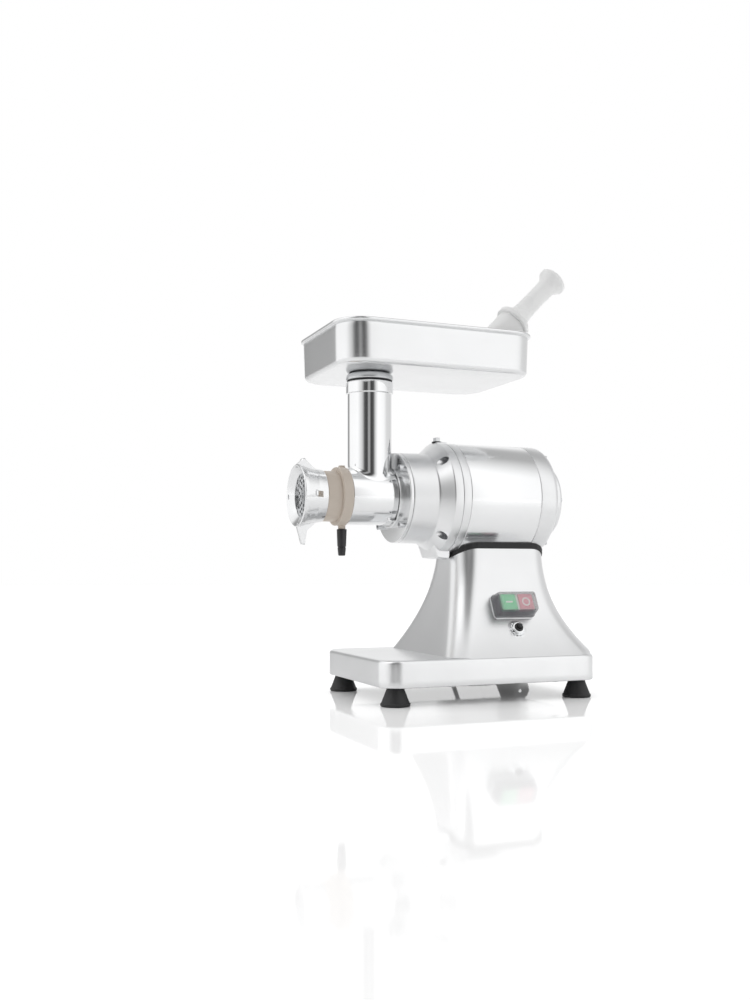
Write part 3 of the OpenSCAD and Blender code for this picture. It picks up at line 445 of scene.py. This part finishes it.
def make_cord():
    path = smooth_line([*LEAD, *coil_path(), *CORD_END], 2)
    curve = bpy.data.curves.new("mains_cord_line", "CURVE")
    curve.dimensions = "3D"
    curve.bevel_depth = CORD_D / 2 * MM
    curve.bevel_resolution = 6
    curve.use_fill_caps = True
    spline = curve.splines.new("POLY")
    spline.points.add(len(path) - 1)
    for point, at in zip(spline.points, path):
        point.co = (*place(at), 1)
    cord = bpy.data.objects.new("mains_lead", curve)
    bpy.context.scene.collection.objects.link(cord)
    curve.materials.append(CABLE)
    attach(cord, "frame")
    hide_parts("mains_cord", "cord_coil")

    plug = Shape()
    along = upright(*PLUG) @ Matrix.Translation((0, 0, 18.6)) @ Matrix.Rotation(-math.pi / 2, 4, "X")
    body = [(0, 0), (0, 18.4, 1.2), (6, 18.4), (6, 17.9), (7, 17.9), (7, 18.4), (20, 18.4, 3), (26, 12.5, 2),
            (46, 5.6, 1.5), (46, 3.4), (24, 3.4), (24, 0)]
    plug.lathe(rounded(body, 4), along, 64)
    for k in range(5):
        z = 29 + 3.4 * k
        r = 11.2 - 1.25 * k
        grip = [(z, r - 1.5), (z, r + 0.9, 0.4), (z + 1.6, r + 0.9, 0.4), (z + 1.6, r - 1.5)]
        plug.lathe(rounded(grip, 2), along, 48)
    plug_piece = piece("plug_body", plug, "frame", BLACK, ["mains_plug"])

    tie = Shape()
    middle = (COIL_IN + COIL_OUT) / 2
    half = (COIL_OUT - COIL_IN) / 2 + CORD_D / 2
    bend = Matrix.Translation((COIL.x, COIL.y + middle, CORD_D + 0.1)) @ Matrix.Rotation(math.pi / 2, 4, "Y")
    inner, outer = (rect_ring(0, -CORD_D - t, CORD_D + t, -half - t, half + t, 3.4 + t, 6, 4)
                    for t in (0, 0.9))
    rings = [[p + Vector((0, 0, z)) for p in ring]
             for ring, z in ((inner, -6), (outer, -6), (outer, 6), (inner, 6))]
    tie.loft(rings, bend, loop=True)
    tie.points = [Vector((p.x, p.y, max(p.z, 0.1))) for p in tie.points]
    tie_piece = piece("coil_tie", tie, "frame", BLACK)


def make_gland():
    along = upright(88, 118, 44) @ Matrix.Rotation(-math.pi / 2, 4, "X")
    shape = Shape()
    hexagon = [(11 * math.cos(math.radians(60 * k)), 11 * math.sin(math.radians(60 * k))) for k in range(6)]
    shape.prism(hexagon, 0.05, 5, along, 0.7)
    shape.lathe(rounded([(4.8, 3.6), (4.8, 9.2, 0.5), (10, 9.2, 1), (10, 3.6)], 3), along, 64)
    rib = [(9.8, 3.55)]
    for k in range(5):
        z = 10 + 4 * k
        r = 8.2 - 0.62 * k
        rib += [(z, r), (z + 2.6, r - 0.2), (z + 2.9, r - 1.3), (z + 3.7, r - 1.4)]
    rib += [(29.8, 4.8), (29.8, 3.55)]
    shape.lathe(rib, along, 64)
    piece("gland_boot", shape, "frame", RUBBER, ["cable_gland"])


# ---------------------------------------------------------------- base

BASE_X, BASE_Y, SKIRT_R = (-162, 165), 118, 26
SKIRT_Z, DECK_Z, NECK_Z = 24.5, 61, 214
NECK_X, NECK_HALF, NECK_R = (-20, 124), 48, 29
SADDLE_R = 86
SPAN = 10


def flare(z, power=1.9):
    return max(0.0, (NECK_Z - z) / (NECK_Z - DECK_Z)) ** power


def pedestal_section(z):
    half = min(NECK_HALF + 67 * flare(z), BASE_Y - 0.1)
    rear = min(NECK_X[1] + 44 * flare(z, 2.7), BASE_X[1] - 0.1)
    return (NECK_X[0] - 42 * flare(z), rear, -half, half, NECK_R)


def saddle_z(y):
    return AXIS_Z - math.sqrt(SADDLE_R ** 2 - y ** 2)


def skirt_ring(z, inset):
    return rect_ring(z, BASE_X[0] + inset, BASE_X[1] - inset, -BASE_Y + inset, BASE_Y - inset,
                     SKIRT_R - 0.8 * inset, 16)


def make_base():
    """The casting's outer skin, closed underneath. Unlike the CAD casting it has no wall or openings."""
    shape = Shape()
    edge = 5
    rim = ((6, 4.4), (0, 4.4), (0, 1.2), (0.4, 0.4), (1.2, 0))
    rings = [skirt_ring(SKIRT_Z + rise, inset) for rise, inset in rim]
    rings += [skirt_ring(z, 0) for z in (34, 46)]
    for k in range(9):
        a = math.radians(90 * k / 8)
        rings.append(skirt_ring(DECK_Z - edge + edge * math.sin(a), edge * (1 - math.cos(a))))
    shape.loft(rings)

    foot = DECK_Z - 10
    top = [saddle_z(p.y) for p in rect_ring(0, *NECK_X, -NECK_HALF, NECK_HALF, NECK_R)]
    levels = 44
    rings = []
    for level in range(levels + 1):
        u = (level / levels) ** 1.25
        ring = []
        for j, high in enumerate(top):
            z = foot + u * (high - foot)
            ring.append(rect_ring(z, *pedestal_section(z))[j])
        rings.append(ring)
    shape.loft(rings, ends=(True, False))
    last = rings[-1]
    half_ring = len(last) // 2
    rows = []
    for k in range(half_ring - SPAN + 1):
        near, far = last[k], last[(-k - SPAN) % len(last)]
        rows.append([Vector((near.x, y, saddle_z(y))) for y in
                     (near.y + (far.y - near.y) * m / SPAN for m in range(SPAN + 1))])
    width = SPAN + 1
    faces = [[k * width + m, k * width + m + 1, (k + 1) * width + m + 1, (k + 1) * width + m]
             for k in range(len(rows) - 1) for m in range(SPAN)]
    shape.add([p for row in rows for p in row], faces)

    shape.loft([rect_ring(z, -32 + t, 32 - t, -18 + t, 18 - t, 5 - t, 6, 4) for z, t in
                ((-9, 0), (-0.5, 0), (-0.1, 0.15), (0, 0.5))], SWITCH)
    shape.rod(-8, 0, 14, 0.5, RESET, 64)
    piece("base_shell", shape, "frame", CAST, ["base_casting"], smooth=40)


def make_feet():
    shape = Shape()
    outline = rounded([(0, 5, 0.4), (0, 19.9, 1.2), (3.2, 20, 1), (4.6, 18.6, 1.5), (24, 11.2, 0.8),
                       (26.2, 11, 0.4), (26.2, 2.7), (12, 2.7), (12, 5)], 4)
    for x in (-FOOT_X, FOOT_X):
        for y in (-FOOT_Y, FOOT_Y):
            shape.lathe(outline, upright(x, y), 96)
    piece("feet", shape, "frame", RUBBER, ["rubber_feet"])


# ---------------------------------------------------------------- motor and gearbox

def turned(name, outline, body, look, replaces=(), count=160):
    return piece(name, Shape().lathe(rounded(outline), ALONG_X, count), body, look, replaces)


def make_motor():
    front, back = FLANGE_BACK + 0.1, SHELL_BACK - 0.1
    tube = [(front, 75), (front, MOTOR_R, 0.7), (back, MOTOR_R, 0.7), (back, 75)]
    turned("motor_tube", tube, "frame", SHELL, ["motor_shell"])
    front = SHELL_BACK + 0.1
    cap = [(front, 8), (front, 21), (103, 25), (103, 66), (front, 68), (front, MOTOR_R, 0.8),
           (CAP_BACK, MOTOR_R, 9), (CAP_BACK, 55.4), (CAP_BACK - 0.4, 8)]
    turned("motor_cap", cap, "frame", CAST, ["rear_cap"])


def make_gearbox():
    # The nose is closed inwards to radius 20, and to 40 near the cover. The CAD housing is a hollow shell
    # there, so the gears that stay CAD nodes lie inside this piece.
    groove_front, groove_back, groove_r = -29.3, -28.4, MOTOR_R - 1.2
    nose = Shape().lathe(rounded([
        (COVER_BACK + 0.3, 40), (COVER_BACK + 0.3, NOSE_R - 0.9), (COVER_BACK + 1.2, NOSE_R, 0.4),
        (-58, NOSE_R + 0.8, 5), (-41.5, MOTOR_R - 0.6, 3), (groove_front, MOTOR_R, 0.3),
        (groove_front, groove_r), (groove_back, groove_r), (groove_back, MOTOR_R, 0.3),
        (FLANGE_BACK, MOTOR_R, 0.8), (FLANGE_BACK, 60),
        (-24, 60), (-24, 20), (-60, 20), (-60, 40)]), ALONG_X, 192)
    body = to_object("gearbox_nose", nose)
    holes = Shape()
    for k in range(4):
        turn = Matrix.Translation((0, 0, AXIS_Z)) @ Matrix.Rotation(math.radians(47 + 90 * k), 4, "X")
        along = turn @ Matrix.Translation((-90, 0, 73)) @ Matrix.Rotation(math.pi / 2, 4, "Y")
        holes.lathe([(0, 0), (0, 6), (56, 6), (56, 0)], along, 48)
    cut(body, holes)
    finish_piece(body, "frame", CAST, ["gearbox_housing"])

    lugs = Shape()
    side = Matrix.Translation((0, 0, AXIS_Z)) @ Matrix.Rotation(math.pi / 2, 4, "X")
    low = rounded([(-52, -58), (-52, -62, 2), (-44, -84.4, 3), (-26, -85.8, 2), (-24.5, -81, 1),
                   (-24.5, -58)], 4)
    lugs.prism(low, -27, 27, side, 1.6)
    high = rounded([(-51, 60), (-22, 60), (-22, 81, 1.5), (-38, 81, 3), (-46, 74, 3), (-51, 62, 2)], 4)
    lugs.prism(high, -13, 13, side, 1.4)
    piece("gearbox_lugs", lugs, "frame", CAST)

    cover = Shape()
    cover.lathe(rounded([(COVER_FRONT, 36.4), (COVER_FRONT, NOSE_R, 1.1), (COVER_BACK - 0.3, NOSE_R, 1),
                         (COVER_BACK - 0.3, 36.4)]), ALONG_X, 160)
    hub = [(HUB_FRONT, 36.4, 0.3), (HUB_FRONT, HUB_R, 1.2), (COVER_FRONT + 1, HUB_R), (COVER_FRONT + 1, 36.4)]
    cover.lathe(rounded(hub), ALONG_X, 160)
    cover.rod(30, 60, 5.6, 0.8, Matrix.Translation((-103, 0, AXIS_Z)) @ Matrix.Rotation(-math.pi / 2, 4, "X"))
    piece("gearbox_front", cover, "frame", MACHINED, ["gearbox_cover"])

    plug = Shape()
    seat = upright(OIL_PLUG_X, 0, AXIS_Z + 82.6)
    hexagon = [(5.4 * math.cos(math.radians(60 * k)), 5.4 * math.sin(math.radians(60 * k))) for k in range(6)]
    plug.prism(hexagon, 0, 5.6, seat, 0.5)
    plug.rod(-14, 0.4, 3.9, 0.3, seat)
    piece("filler_plug", plug, "frame", ZINC, ["oil_plug"])


# ---------------------------------------------------------------- head

def make_head():
    barrel = Shape()
    barrel.lathe(rounded([(MOUTH_X + 0.2, BORE_R), (MOUTH_X + 0.2, THREAD_R - 1.2, 0.5),
                          (SHOULDER_X, THREAD_R - 1.2), (SHOULDER_X, BARREL_R, 0.8),
                          (HUB_FRONT - 0.4, BARREL_R, 1.2), (HUB_FRONT - 0.4, 36), (-90, 36, 0.6),
                          (-90, 15), (-112, 15), (-112, 21), (-118, BORE_R)]), ALONG_X, 160)
    body = to_object("head_barrel", barrel)
    intake = [(0, 0), (0, TUBE_BORE_R), (80, TUBE_BORE_R), (80, 0)]
    cut(body, Shape().lathe(intake, upright(TUBE_X, 0, AXIS_Z), 128))
    finish_piece(body, "head", MIRROR, ["head_casting"])

    tube = Shape()
    up = upright(TUBE_X, 0)
    low = AXIS_Z + 28
    tube.lathe(rounded([(low, TUBE_BORE_R), (low, TUBE_R), (TUBE_TOP - 17, TUBE_R, 0.8),
                        (TUBE_TOP - 16.4, COLLAR_R, 0.8), (TUBE_TOP, COLLAR_R, 2),
                        (TUBE_TOP, TUBE_BORE_R, 1)]), up, 160)
    reach = 6.5
    rings = []
    for k in range(9):
        u = k / 8
        ring = []
        for point in circle(0, 1, 160):
            outer, inner = point * (TUBE_R + reach), point * (TUBE_R - 0.05)
            a = Vector((outer.x, outer.y, math.sqrt(BARREL_R ** 2 - outer.y ** 2) - 0.05))
            b = Vector((inner.x, inner.y, math.sqrt(BARREL_R ** 2 - inner.y ** 2)))
            c = b + Vector((0, 0, reach))
            ring.append(a * (1 - u) ** 2 + b * 2 * u * (1 - u) + c * u ** 2)
        rings.append(ring)
    inner_ring = [p * (28 / 31) for p in circle(0, TUBE_R - 0.05, 160)]
    rings.append([Vector((p.x, p.y, rings[-1][i].z)) for i, p in enumerate(inner_ring)])
    rings.append([Vector((p.x, p.y, 30)) for p in inner_ring])
    tube.loft(rings, upright(TUBE_X, 0, AXIS_Z), loop=True)
    for turn in (54, 126, 234, 306):
        matrix = (Matrix.Translation((0, 0, AXIS_Z)) @ Matrix.Rotation(math.radians(turn - 90), 4, "X")
                  @ Matrix.Translation((HUB_FRONT - 12.4, 0, BARREL_R - 2)))
        rib = ((0, 0), (4.4, 0), (5, 0.4))
        tube.loft([rect_ring(z, t, 12 - t, -1.8 + t, 1.8 - t, 0.8, 3, 2) for z, t in rib], matrix)
    piece("feed_tube_pipe", tube, "head", MIRROR)

    thread = Shape()
    steps, turns = 64, 8
    section = [(-0.95, -0.3), (-0.3, 1.2), (0.3, 1.2), (0.95, -0.3)]
    rings = []
    for k in range(steps * turns):
        a = 2 * math.pi * k / steps
        x = MOUTH_X + 2 + 2.5 * k / steps
        r = THREAD_R - 1.2
        rings.append([Vector((math.sin(a) * (r + h), math.cos(a) * (r + h), x + w)) for w, h in section])
    thread.loft(rings, ALONG_X)
    piece("barrel_thread", thread, "head", MIRROR)


def make_nut():
    shape = Shape()
    lip = -237.25
    shape.lathe(rounded([(NUT_FRONT - 0.4, 41.4, 0.6), (NUT_FRONT + 0.6, 43, 1), (NUT_FRONT + 6, 42.2, 4),
                         (NUT_BACK - 13, 37.8, 4), (NUT_BACK, 36.2, 0.8), (NUT_BACK, 33.1, 0.4), (-234, 33.1),
                         (-234, 30), (lip, 30, 0.5)]), ALONG_X, 160)
    wings = ((180, 67), (0, 51), (90, 60), (-90, 50))
    for turn, reach in wings:
        outline = rounded([(NUT_FRONT + 0.8, 38), (NUT_FRONT + 0.8, 43, 1), (NUT_FRONT + 6.5, reach - 3, 4),
                           (NUT_FRONT + 8, reach, 1.2), (NUT_FRONT + 12, reach, 1.6), (NUT_FRONT + 15, 47, 7),
                           (NUT_FRONT + 28, 36)], 4)
        matrix = (Matrix.Translation((0, 0, AXIS_Z)) @ Matrix.Rotation(math.radians(turn), 4, "X")
                  @ Matrix.Rotation(math.pi / 2, 4, "X"))
        shape.prism(outline, -4, 4, matrix, 1.2)
    piece("wing_nut", shape, "nut", SATIN, ["ring_nut"], smooth=38)


def make_release():
    shape = Shape()
    inner = THREAD_R + 0.35
    shape.lathe(rounded([(NUT_BACK + 0.4, inner), (NUT_BACK + 0.4, 34.8, 0.5), (-189, 34.8), (-189, 40.5, 1),
                         (SHOULDER_X - 0.4, 40.5, 1), (SHOULDER_X - 0.4, inner)]), ALONG_X, 160)
    shape.rod(-45, -34, 5.1, 0.8, upright(LEVER_X, 0, AXIS_Z))
    shape.rod(34, 43, 4.6, 0.8, upright(LEVER_X, 0, AXIS_Z))
    piece("release_collar", shape, "release", BEIGE, ["release_ring"])
    lever = Shape()
    outline = rounded([(-82, 0), (-82, 4.8, 1.6), (-71, 5.9, 0.4), (-70.4, 5.2, 0.2), (-69.6, 5.2, 0.2),
                       (-69, 6.1, 0.4), (-45.1, 7, 0.8), (-45.1, 0)], 4)
    lever.lathe(outline, upright(LEVER_X, 0, AXIS_Z), 64)
    piece("lever_grip", lever, "release", BLACK, ["release_lever"])


# ---------------------------------------------------------------- tray and pusher

def tray_ring(z, inset):
    s = 1.6 * (TRAY_TOP - z) / TRAY_DEEP
    t = s + inset
    return rect_ring(z, TRAY_X[0] + t, TRAY_X[1] - t, TRAY_Y[0] + t, TRAY_Y[1] - t,
                     TRAY_R - inset, 20, 14)


def make_tray():
    """Pressed sheet: outside up to a rolled rim, over it, down the inside and across the floor to the hole."""
    sheet = 1.2
    bend = 6.5
    rings = []
    for k in range(10):
        a = math.radians(90 * k / 9)
        rings.append(tray_ring(TRAY_BOTTOM + bend * (1 - math.cos(a)), bend * (1 - math.sin(a))))
    rings += [tray_ring(TRAY_BOTTOM + z, 0) for z in (20, 33, 46)]
    rings += [tray_ring(TRAY_TOP - 5.6, 0), tray_ring(TRAY_TOP - 5.2, 0.2)]
    for k in range(9):
        a = math.radians(-110 + 200 * k / 8)
        rings.append(tray_ring(TRAY_TOP - 2.2 + 2.2 * math.sin(a), -1.8 - 1.8 * math.cos(a)))
    rings += [tray_ring(TRAY_TOP - drop, inset) for drop, inset in ((0.1, -0.6), (0.7, 0.9), (2.5, sheet))]
    rings += [tray_ring(TRAY_BOTTOM + z, sheet) for z in (46, 33, 20)]
    inner = bend - sheet
    for k in range(10):
        a = math.radians(90 * (1 - k / 9))
        rings.append(tray_ring(TRAY_BOTTOM + sheet + inner * (1 - math.cos(a)),
                               sheet + inner * (1 - math.sin(a))))

    def hole(z, r, like):
        out = []
        for p in like:
            arm = Vector((p.x - TUBE_X, p.y))
            arm.normalize()
            out.append(Vector((TUBE_X + arm.x * r, arm.y * r, z)))
        return out
    rings += [hole(TRAY_BOTTOM + sheet, r, rings[-1]) for r in (34, 25)]
    rings += [hole(TRAY_BOTTOM + rise, r, rings[0]) for rise, r in ((sheet - 0.4, 24.2), (0, 24.2), (0, 34))]
    shape = Shape().loft(rings, loop=True)
    piece("tray_pan", shape, "tray", SHEET, ["feed_tray"])

    neck = Shape()
    bottom = TRAY_BOTTOM - 0.05
    neck.lathe(rounded([(TUBE_TOP - 18, 24), (TUBE_TOP - 18, 25.7, 0.6), (TUBE_TOP + 0.3, 25.7),
                        (TUBE_TOP + 0.3, 27.5), (TUBE_TOP + 2.4, 27.5), (TUBE_TOP + 2.4, 32.6, 0.4),
                        (TUBE_TOP + 3.2, 33), (bottom, 33, 6.5), (bottom, 26), (bottom, 24)]),
               upright(TUBE_X, 0), 160)
    piece("tray_spigot", neck, "tray", BLADE, ["tray_neck"])


def make_seal():
    outline = rounded([(TUBE_TOP + 0.4, 26.4), (TUBE_TOP + 0.4, 31.6, 0.6), (TUBE_TOP + 2.3, 31.6, 0.6),
                       (TUBE_TOP + 2.3, 27.6)], 3)
    piece("neck_seal", Shape().lathe(outline, upright(TUBE_X, 0), 128), "tray", RUBBER)


def make_pusher():
    low, total = 95, 196
    outline = rounded([(0, 0), (0, 22, 2.5), (low, 22), (low, 26.5, 2.5), (low + 9.5, 26.5, 3.5),
                       (low + 10, 17, 4), (low + 30, 14, 20), (low + 62, 13.4, 60), (total - 16, 14.2, 12),
                       (total - 5, 21.5, 1.4), (total, 21.5, 1.6), (total, 0)], 6)
    stick = Shape().lathe(outline, PUSHER, 128)
    piece("pusher_stick", stick, "pusher_body", WHITE, ["pusher"])


# ---------------------------------------------------------------- controls

def make_switch():
    frame_block = Shape()
    outer = [rect_ring(z, -27.2 + t, 27.2 - t, -13.4 + t, 13.4 - t, 2.5 - t, 6, 6)
             for z, t in ((0, 0), (10.2, 0), (11, 0.8))]
    frame_block.loft(outer, SWITCH)
    body = to_object("switch_frame", frame_block)
    pockets = Shape()
    for x in (-13.3, 13.3):
        pockets.loft([rect_ring(z, x - 12.4, x + 12.4, -12.6, 12.6, 1.2, 4, 4) for z in (4, 20)], SWITCH)
    cut(body, pockets)
    finish_piece(body, "frame", GREY, ["switch_body"])

    for name, x, look, slot, node in (("start", -13.3, GREEN, "green_button", "start_button"),
                                      ("stop", 13.3, RED, "red_button", "stop_button")):
        key = Shape()
        levels = ((7.5, 0), (16, 0), (16.9, 0.4), (17.3, 1.2), (17, 3.4), (16.7, 6))
        key.loft([rect_ring(z, x - 11.6 + t, x + 11.6 - t, -12 + t, 12 - t, 2.4 - 0.3 * t, 8, 6)
                  for z, t in levels], SWITCH)
        piece(name + "_key", key, name, look, [node])
    bar = Shape().loft([rect_ring(z, -18.6, -8, -1.3, 1.3, 0.8, 4, 2) for z in (16.5, 17.1)], SWITCH)
    piece("start_mark", bar, "start", MARK)
    ring = Shape().lathe([(16.5, 4.4), (17.1, 4.4), (17.1, 6.4), (16.5, 6.4)], SWITCH @ upright(13.3, 0), 48)
    piece("stop_mark", ring, "stop", MARK)
    web = Shape().loft([rect_ring(z, -1.5, 1.5, -12.2 + t, 12.2 - t, 0.8, 3, 4)
                        for z, t in ((4, 0), (15.6, 0), (16.2, 0.5))], SWITCH)
    piece("switch_web", web, "frame", LIGHT)

    boot = Shape()
    skin = [(0, 31.4, 17.4), (3.2, 31.4, 17.4), (4, 30.9, 16.8), (14, 30, 15.4), (18.8, 29.4, 14.5),
            (20.4, 28.8, 13.8)]
    inside = [(19.2, 27.8, 12.8), (10, 28.6, 14.4), (0, 29.4, 15.6)]
    rings = [rect_ring(z, -w, w, -h, h, 5 - z * 0.07, 8, 6) for z, w, h in skin]
    rings += [rect_ring(z, -w, w, -h, h, 3.6, 8, 6) for z, w, h in inside]
    boot.loft(rings, SWITCH, loop=True)
    piece("splash_boot", boot, "frame", SMOKE, ["switch_boot"])
    window = Shape().loft([rect_ring(z, -w, w, -h, h, 3.6, 8, 6) for z, w, h in
                           ((19.3, 27.7, 12.7), (20.5, 28.7, 13.7), (21, 27.6, 12.6))], SWITCH)
    piece("boot_window", window, "frame", BOOT)


def make_reset():
    teeth = 14
    ring = []
    for k in range(teeth * 4):
        a = 2 * math.pi * k / (teeth * 4)
        r = 11.4 if k % 4 < 2 else 10.2
        ring.append((r * math.cos(a), r * math.sin(a)))
    shape = Shape()
    shape.prism(ring, 0.05, 3, RESET, 0.4)
    shape.lathe(rounded([(2.8, 6.05), (2.8, 9.2, 0.2), (6, 9.2, 1.2), (6, 6.05, 0.5)], 4), RESET, 64)
    piece("reset_bezel", shape, "frame", CHROME, ["breaker_ring"])
    key = Shape().lathe(rounded([(-2, 0), (-2, 3.2), (12, 3.2, 1.2), (12, 0)], 4), RESET, 48)
    piece("reset_key", key, "reset", BLACK, ["reset_button"])
    guide = Shape().lathe(rounded([(-26, 3.6), (-26, 6), (8, 6, 0.8), (8, 3.6, 0.5)], 4), RESET, 64)
    guide.loft([rect_ring(z, -12, 12, -16, 16, 2, 4, 4) for z in (-30, -10)], RESET)
    piece("reset_guide", guide, "frame", BLACK, ["breaker_body"])


# ---------------------------------------------------------------- carried CAD nodes

def dress_cad():
    """Gives each CAD node that stays visible its material and smooth shading with crisp edges."""
    look_of = {entry["node"]: SLOT_LOOK[entry["material_slot"]] for entry in frame["record"]["subparts"]}
    for name, obj in nodes.items():
        obj.data.materials.clear()
        obj.data.materials.append(look_of[name])
        soften(obj, 28)


# ---------------------------------------------------------------- studio

def math_node(tree, operation, a, b=None):
    node = tree.nodes.new("ShaderNodeMath")
    node.operation = operation
    for socket, value in zip(node.inputs, (a, b)):
        if isinstance(value, (int, float)):
            socket.default_value = value
        elif value is not None:
            tree.links.new(value, socket)
    return node.outputs[0]


def map_range(tree, value, low, high, to_low, to_high, kind="LINEAR"):
    node = tree.nodes.new("ShaderNodeMapRange")
    node.interpolation_type = kind
    for key, number in (("From Min", low), ("From Max", high), ("To Min", to_low), ("To Max", to_high)):
        node.inputs[key].default_value = number
    tree.links.new(value, node.inputs["Value"])
    return node.outputs[0]


# Brightness round the horizon, by bearing from the camera's side in degrees, left of it negative
RING = ((-180, 1.0), (-160, 1.0), (-151, 0.36), (-134, 0.34), (-122, 1.1), (-62, 1.15), (-38, 0.7),
        (-25, 0.1), (-11, 0.06), (-5, 0.4), (1, 0.4), (7, 0.06), (20, 0.1), (32, 0.8), (45, 1.2), (80, 1.1),
        (100, 0.8), (135, 0.75), (160, 0.95), (180, 1.0))
RING_PEAK = 1.3


def make_world():
    """Soft panels all round with dark gaps between them, under a paler ceiling."""
    world = bpy.data.worlds.new("studio")
    world.use_nodes = True
    tree = world.node_tree
    coords = tree.nodes.new("ShaderNodeTexCoord")
    turn = tree.nodes.new("ShaderNodeVectorRotate")
    turn.rotation_type = "Z_AXIS"
    turn.inputs["Angle"].default_value = math.radians(90 + CAMERA_TURN)
    tree.links.new(coords.outputs["Generated"], turn.inputs["Vector"])
    parts = tree.nodes.new("ShaderNodeSeparateXYZ")
    tree.links.new(turn.outputs["Vector"], parts.inputs["Vector"])
    bearing = math_node(tree, "ARCTAN2", parts.outputs["Y"], parts.outputs["X"])
    share = math_node(tree, "ADD", math_node(tree, "DIVIDE", bearing, 2 * math.pi), 0.5)
    ramp = tree.nodes.new("ShaderNodeFloatCurve")
    curve = ramp.mapping.curves[0]
    for i, (angle, level) in enumerate(RING):
        spot = ((angle + 180) / 360, level / RING_PEAK)
        if i in (0, len(RING) - 1):
            curve.points[0 if i == 0 else -1].location = spot
        else:
            curve.points.new(*spot)
    for point in curve.points:
        point.handle_type = "VECTOR"
    ramp.mapping.update()
    tree.links.new(share, ramp.inputs["Value"])
    ring = math_node(tree, "MULTIPLY", ramp.outputs["Value"], RING_PEAK)
    ceiling = math_node(tree, "ADD", map_range(tree, parts.outputs["X"], -0.27, 0.32, 0.48, 1.2),
                        map_range(tree, parts.outputs["Y"], -0.5, -0.15, 0.5, 0))
    broad = map_range(tree, parts.outputs["Z"], 0.42, 0.78, 0, 1, "SMOOTHSTEP")
    tall = map_range(tree, parts.outputs["Z"], 0.9, 0.99, 0, 1, "SMOOTHSTEP")
    aside = math_node(tree, "ABSOLUTE", bearing)
    near = map_range(tree, aside, math.radians(18), math.radians(36), 1, 0)
    rise = math_node(tree, "SUBTRACT", tall, broad)
    height = math_node(tree, "ADD", broad, math_node(tree, "MULTIPLY", near, rise))
    mix = tree.nodes.new("ShaderNodeMix")
    tree.links.new(height, mix.inputs["Factor"])
    tree.links.new(ring, mix.inputs["A"])
    tree.links.new(ceiling, mix.inputs["B"])
    tree.links.new(mix.outputs["Result"], tree.nodes["Background"].inputs["Strength"])
    tree.nodes["Background"].inputs["Color"].default_value = (1, 1, 1, 1)
    bpy.context.scene.world = world


def sheet(name, corners, faces, look):
    mesh = bpy.data.meshes.new(name)
    mesh.from_pydata(corners, [], faces)
    mesh.materials.append(look)
    obj = bpy.data.objects.new(name, mesh)
    bpy.context.scene.collection.objects.link(obj)
    return obj


def make_studio():
    bpy.context.scene.view_settings.view_transform = "Standard"
    make_world()
    floor = material("floor_white", (0.93, 0.93, 0.93), roughness=0.05)
    shader = floor.node_tree.nodes["Principled BSDF"]
    shader.inputs["Emission Color"].default_value = (1, 1, 1, 1)
    tree = floor.node_tree
    # The floor glows with painted light, dimmed by ambient occlusion into painted shade under and near the
    # base; the glow is 0.3 to the camera and 0.15 to other rays.
    shade = tree.nodes.new("ShaderNodeAmbientOcclusion")
    shade.samples = 8
    shade.inputs["Distance"].default_value = 0.08
    seen = tree.nodes.new("ShaderNodeLightPath").outputs["Is Camera Ray"]
    level = map_range(tree, seen, 0, 1, 0.15, 0.3)
    painted_floor_glow = math_node(tree, "MULTIPLY", shade.outputs["AO"], level)
    tree.links.new(painted_floor_glow, shader.inputs["Emission Strength"])
    size, drop = 14, -0.0005
    corners = [(-size, -size, drop), (size, -size, drop), (size, size, drop), (-size, size, drop)]
    sheet("floor", corners, [(0, 1, 2, 3)], floor)

    glow = bpy.data.materials.new("backdrop_white")
    glow.use_nodes = True
    glow.node_tree.nodes.clear()
    light = glow.node_tree.nodes.new("ShaderNodeEmission")
    out = glow.node_tree.nodes.new("ShaderNodeOutputMaterial")
    glow.node_tree.links.new(light.outputs["Emission"], out.inputs["Surface"])
    count, radius = 64, 10
    wall = [(radius * math.cos(2 * math.pi * k / count), radius * math.sin(2 * math.pi * k / count), z)
            for z in (-0.1, 12) for k in range(count)]
    faces = [(k, (k + 1) % count, count + (k + 1) % count, count + k) for k in range(count)]
    backdrop = sheet("backdrop", wall, faces, glow)
    for ray in ("visible_diffuse", "visible_glossy", "visible_transmission", "visible_shadow"):
        setattr(backdrop, ray, False)


make_camera()
make_cord()
make_gland()
dress_cad()
make_base()
make_feet()
make_motor()
make_gearbox()
make_head()
make_nut()
make_release()
make_tray()
make_seal()
make_pusher()
make_switch()
make_reset()
make_studio()
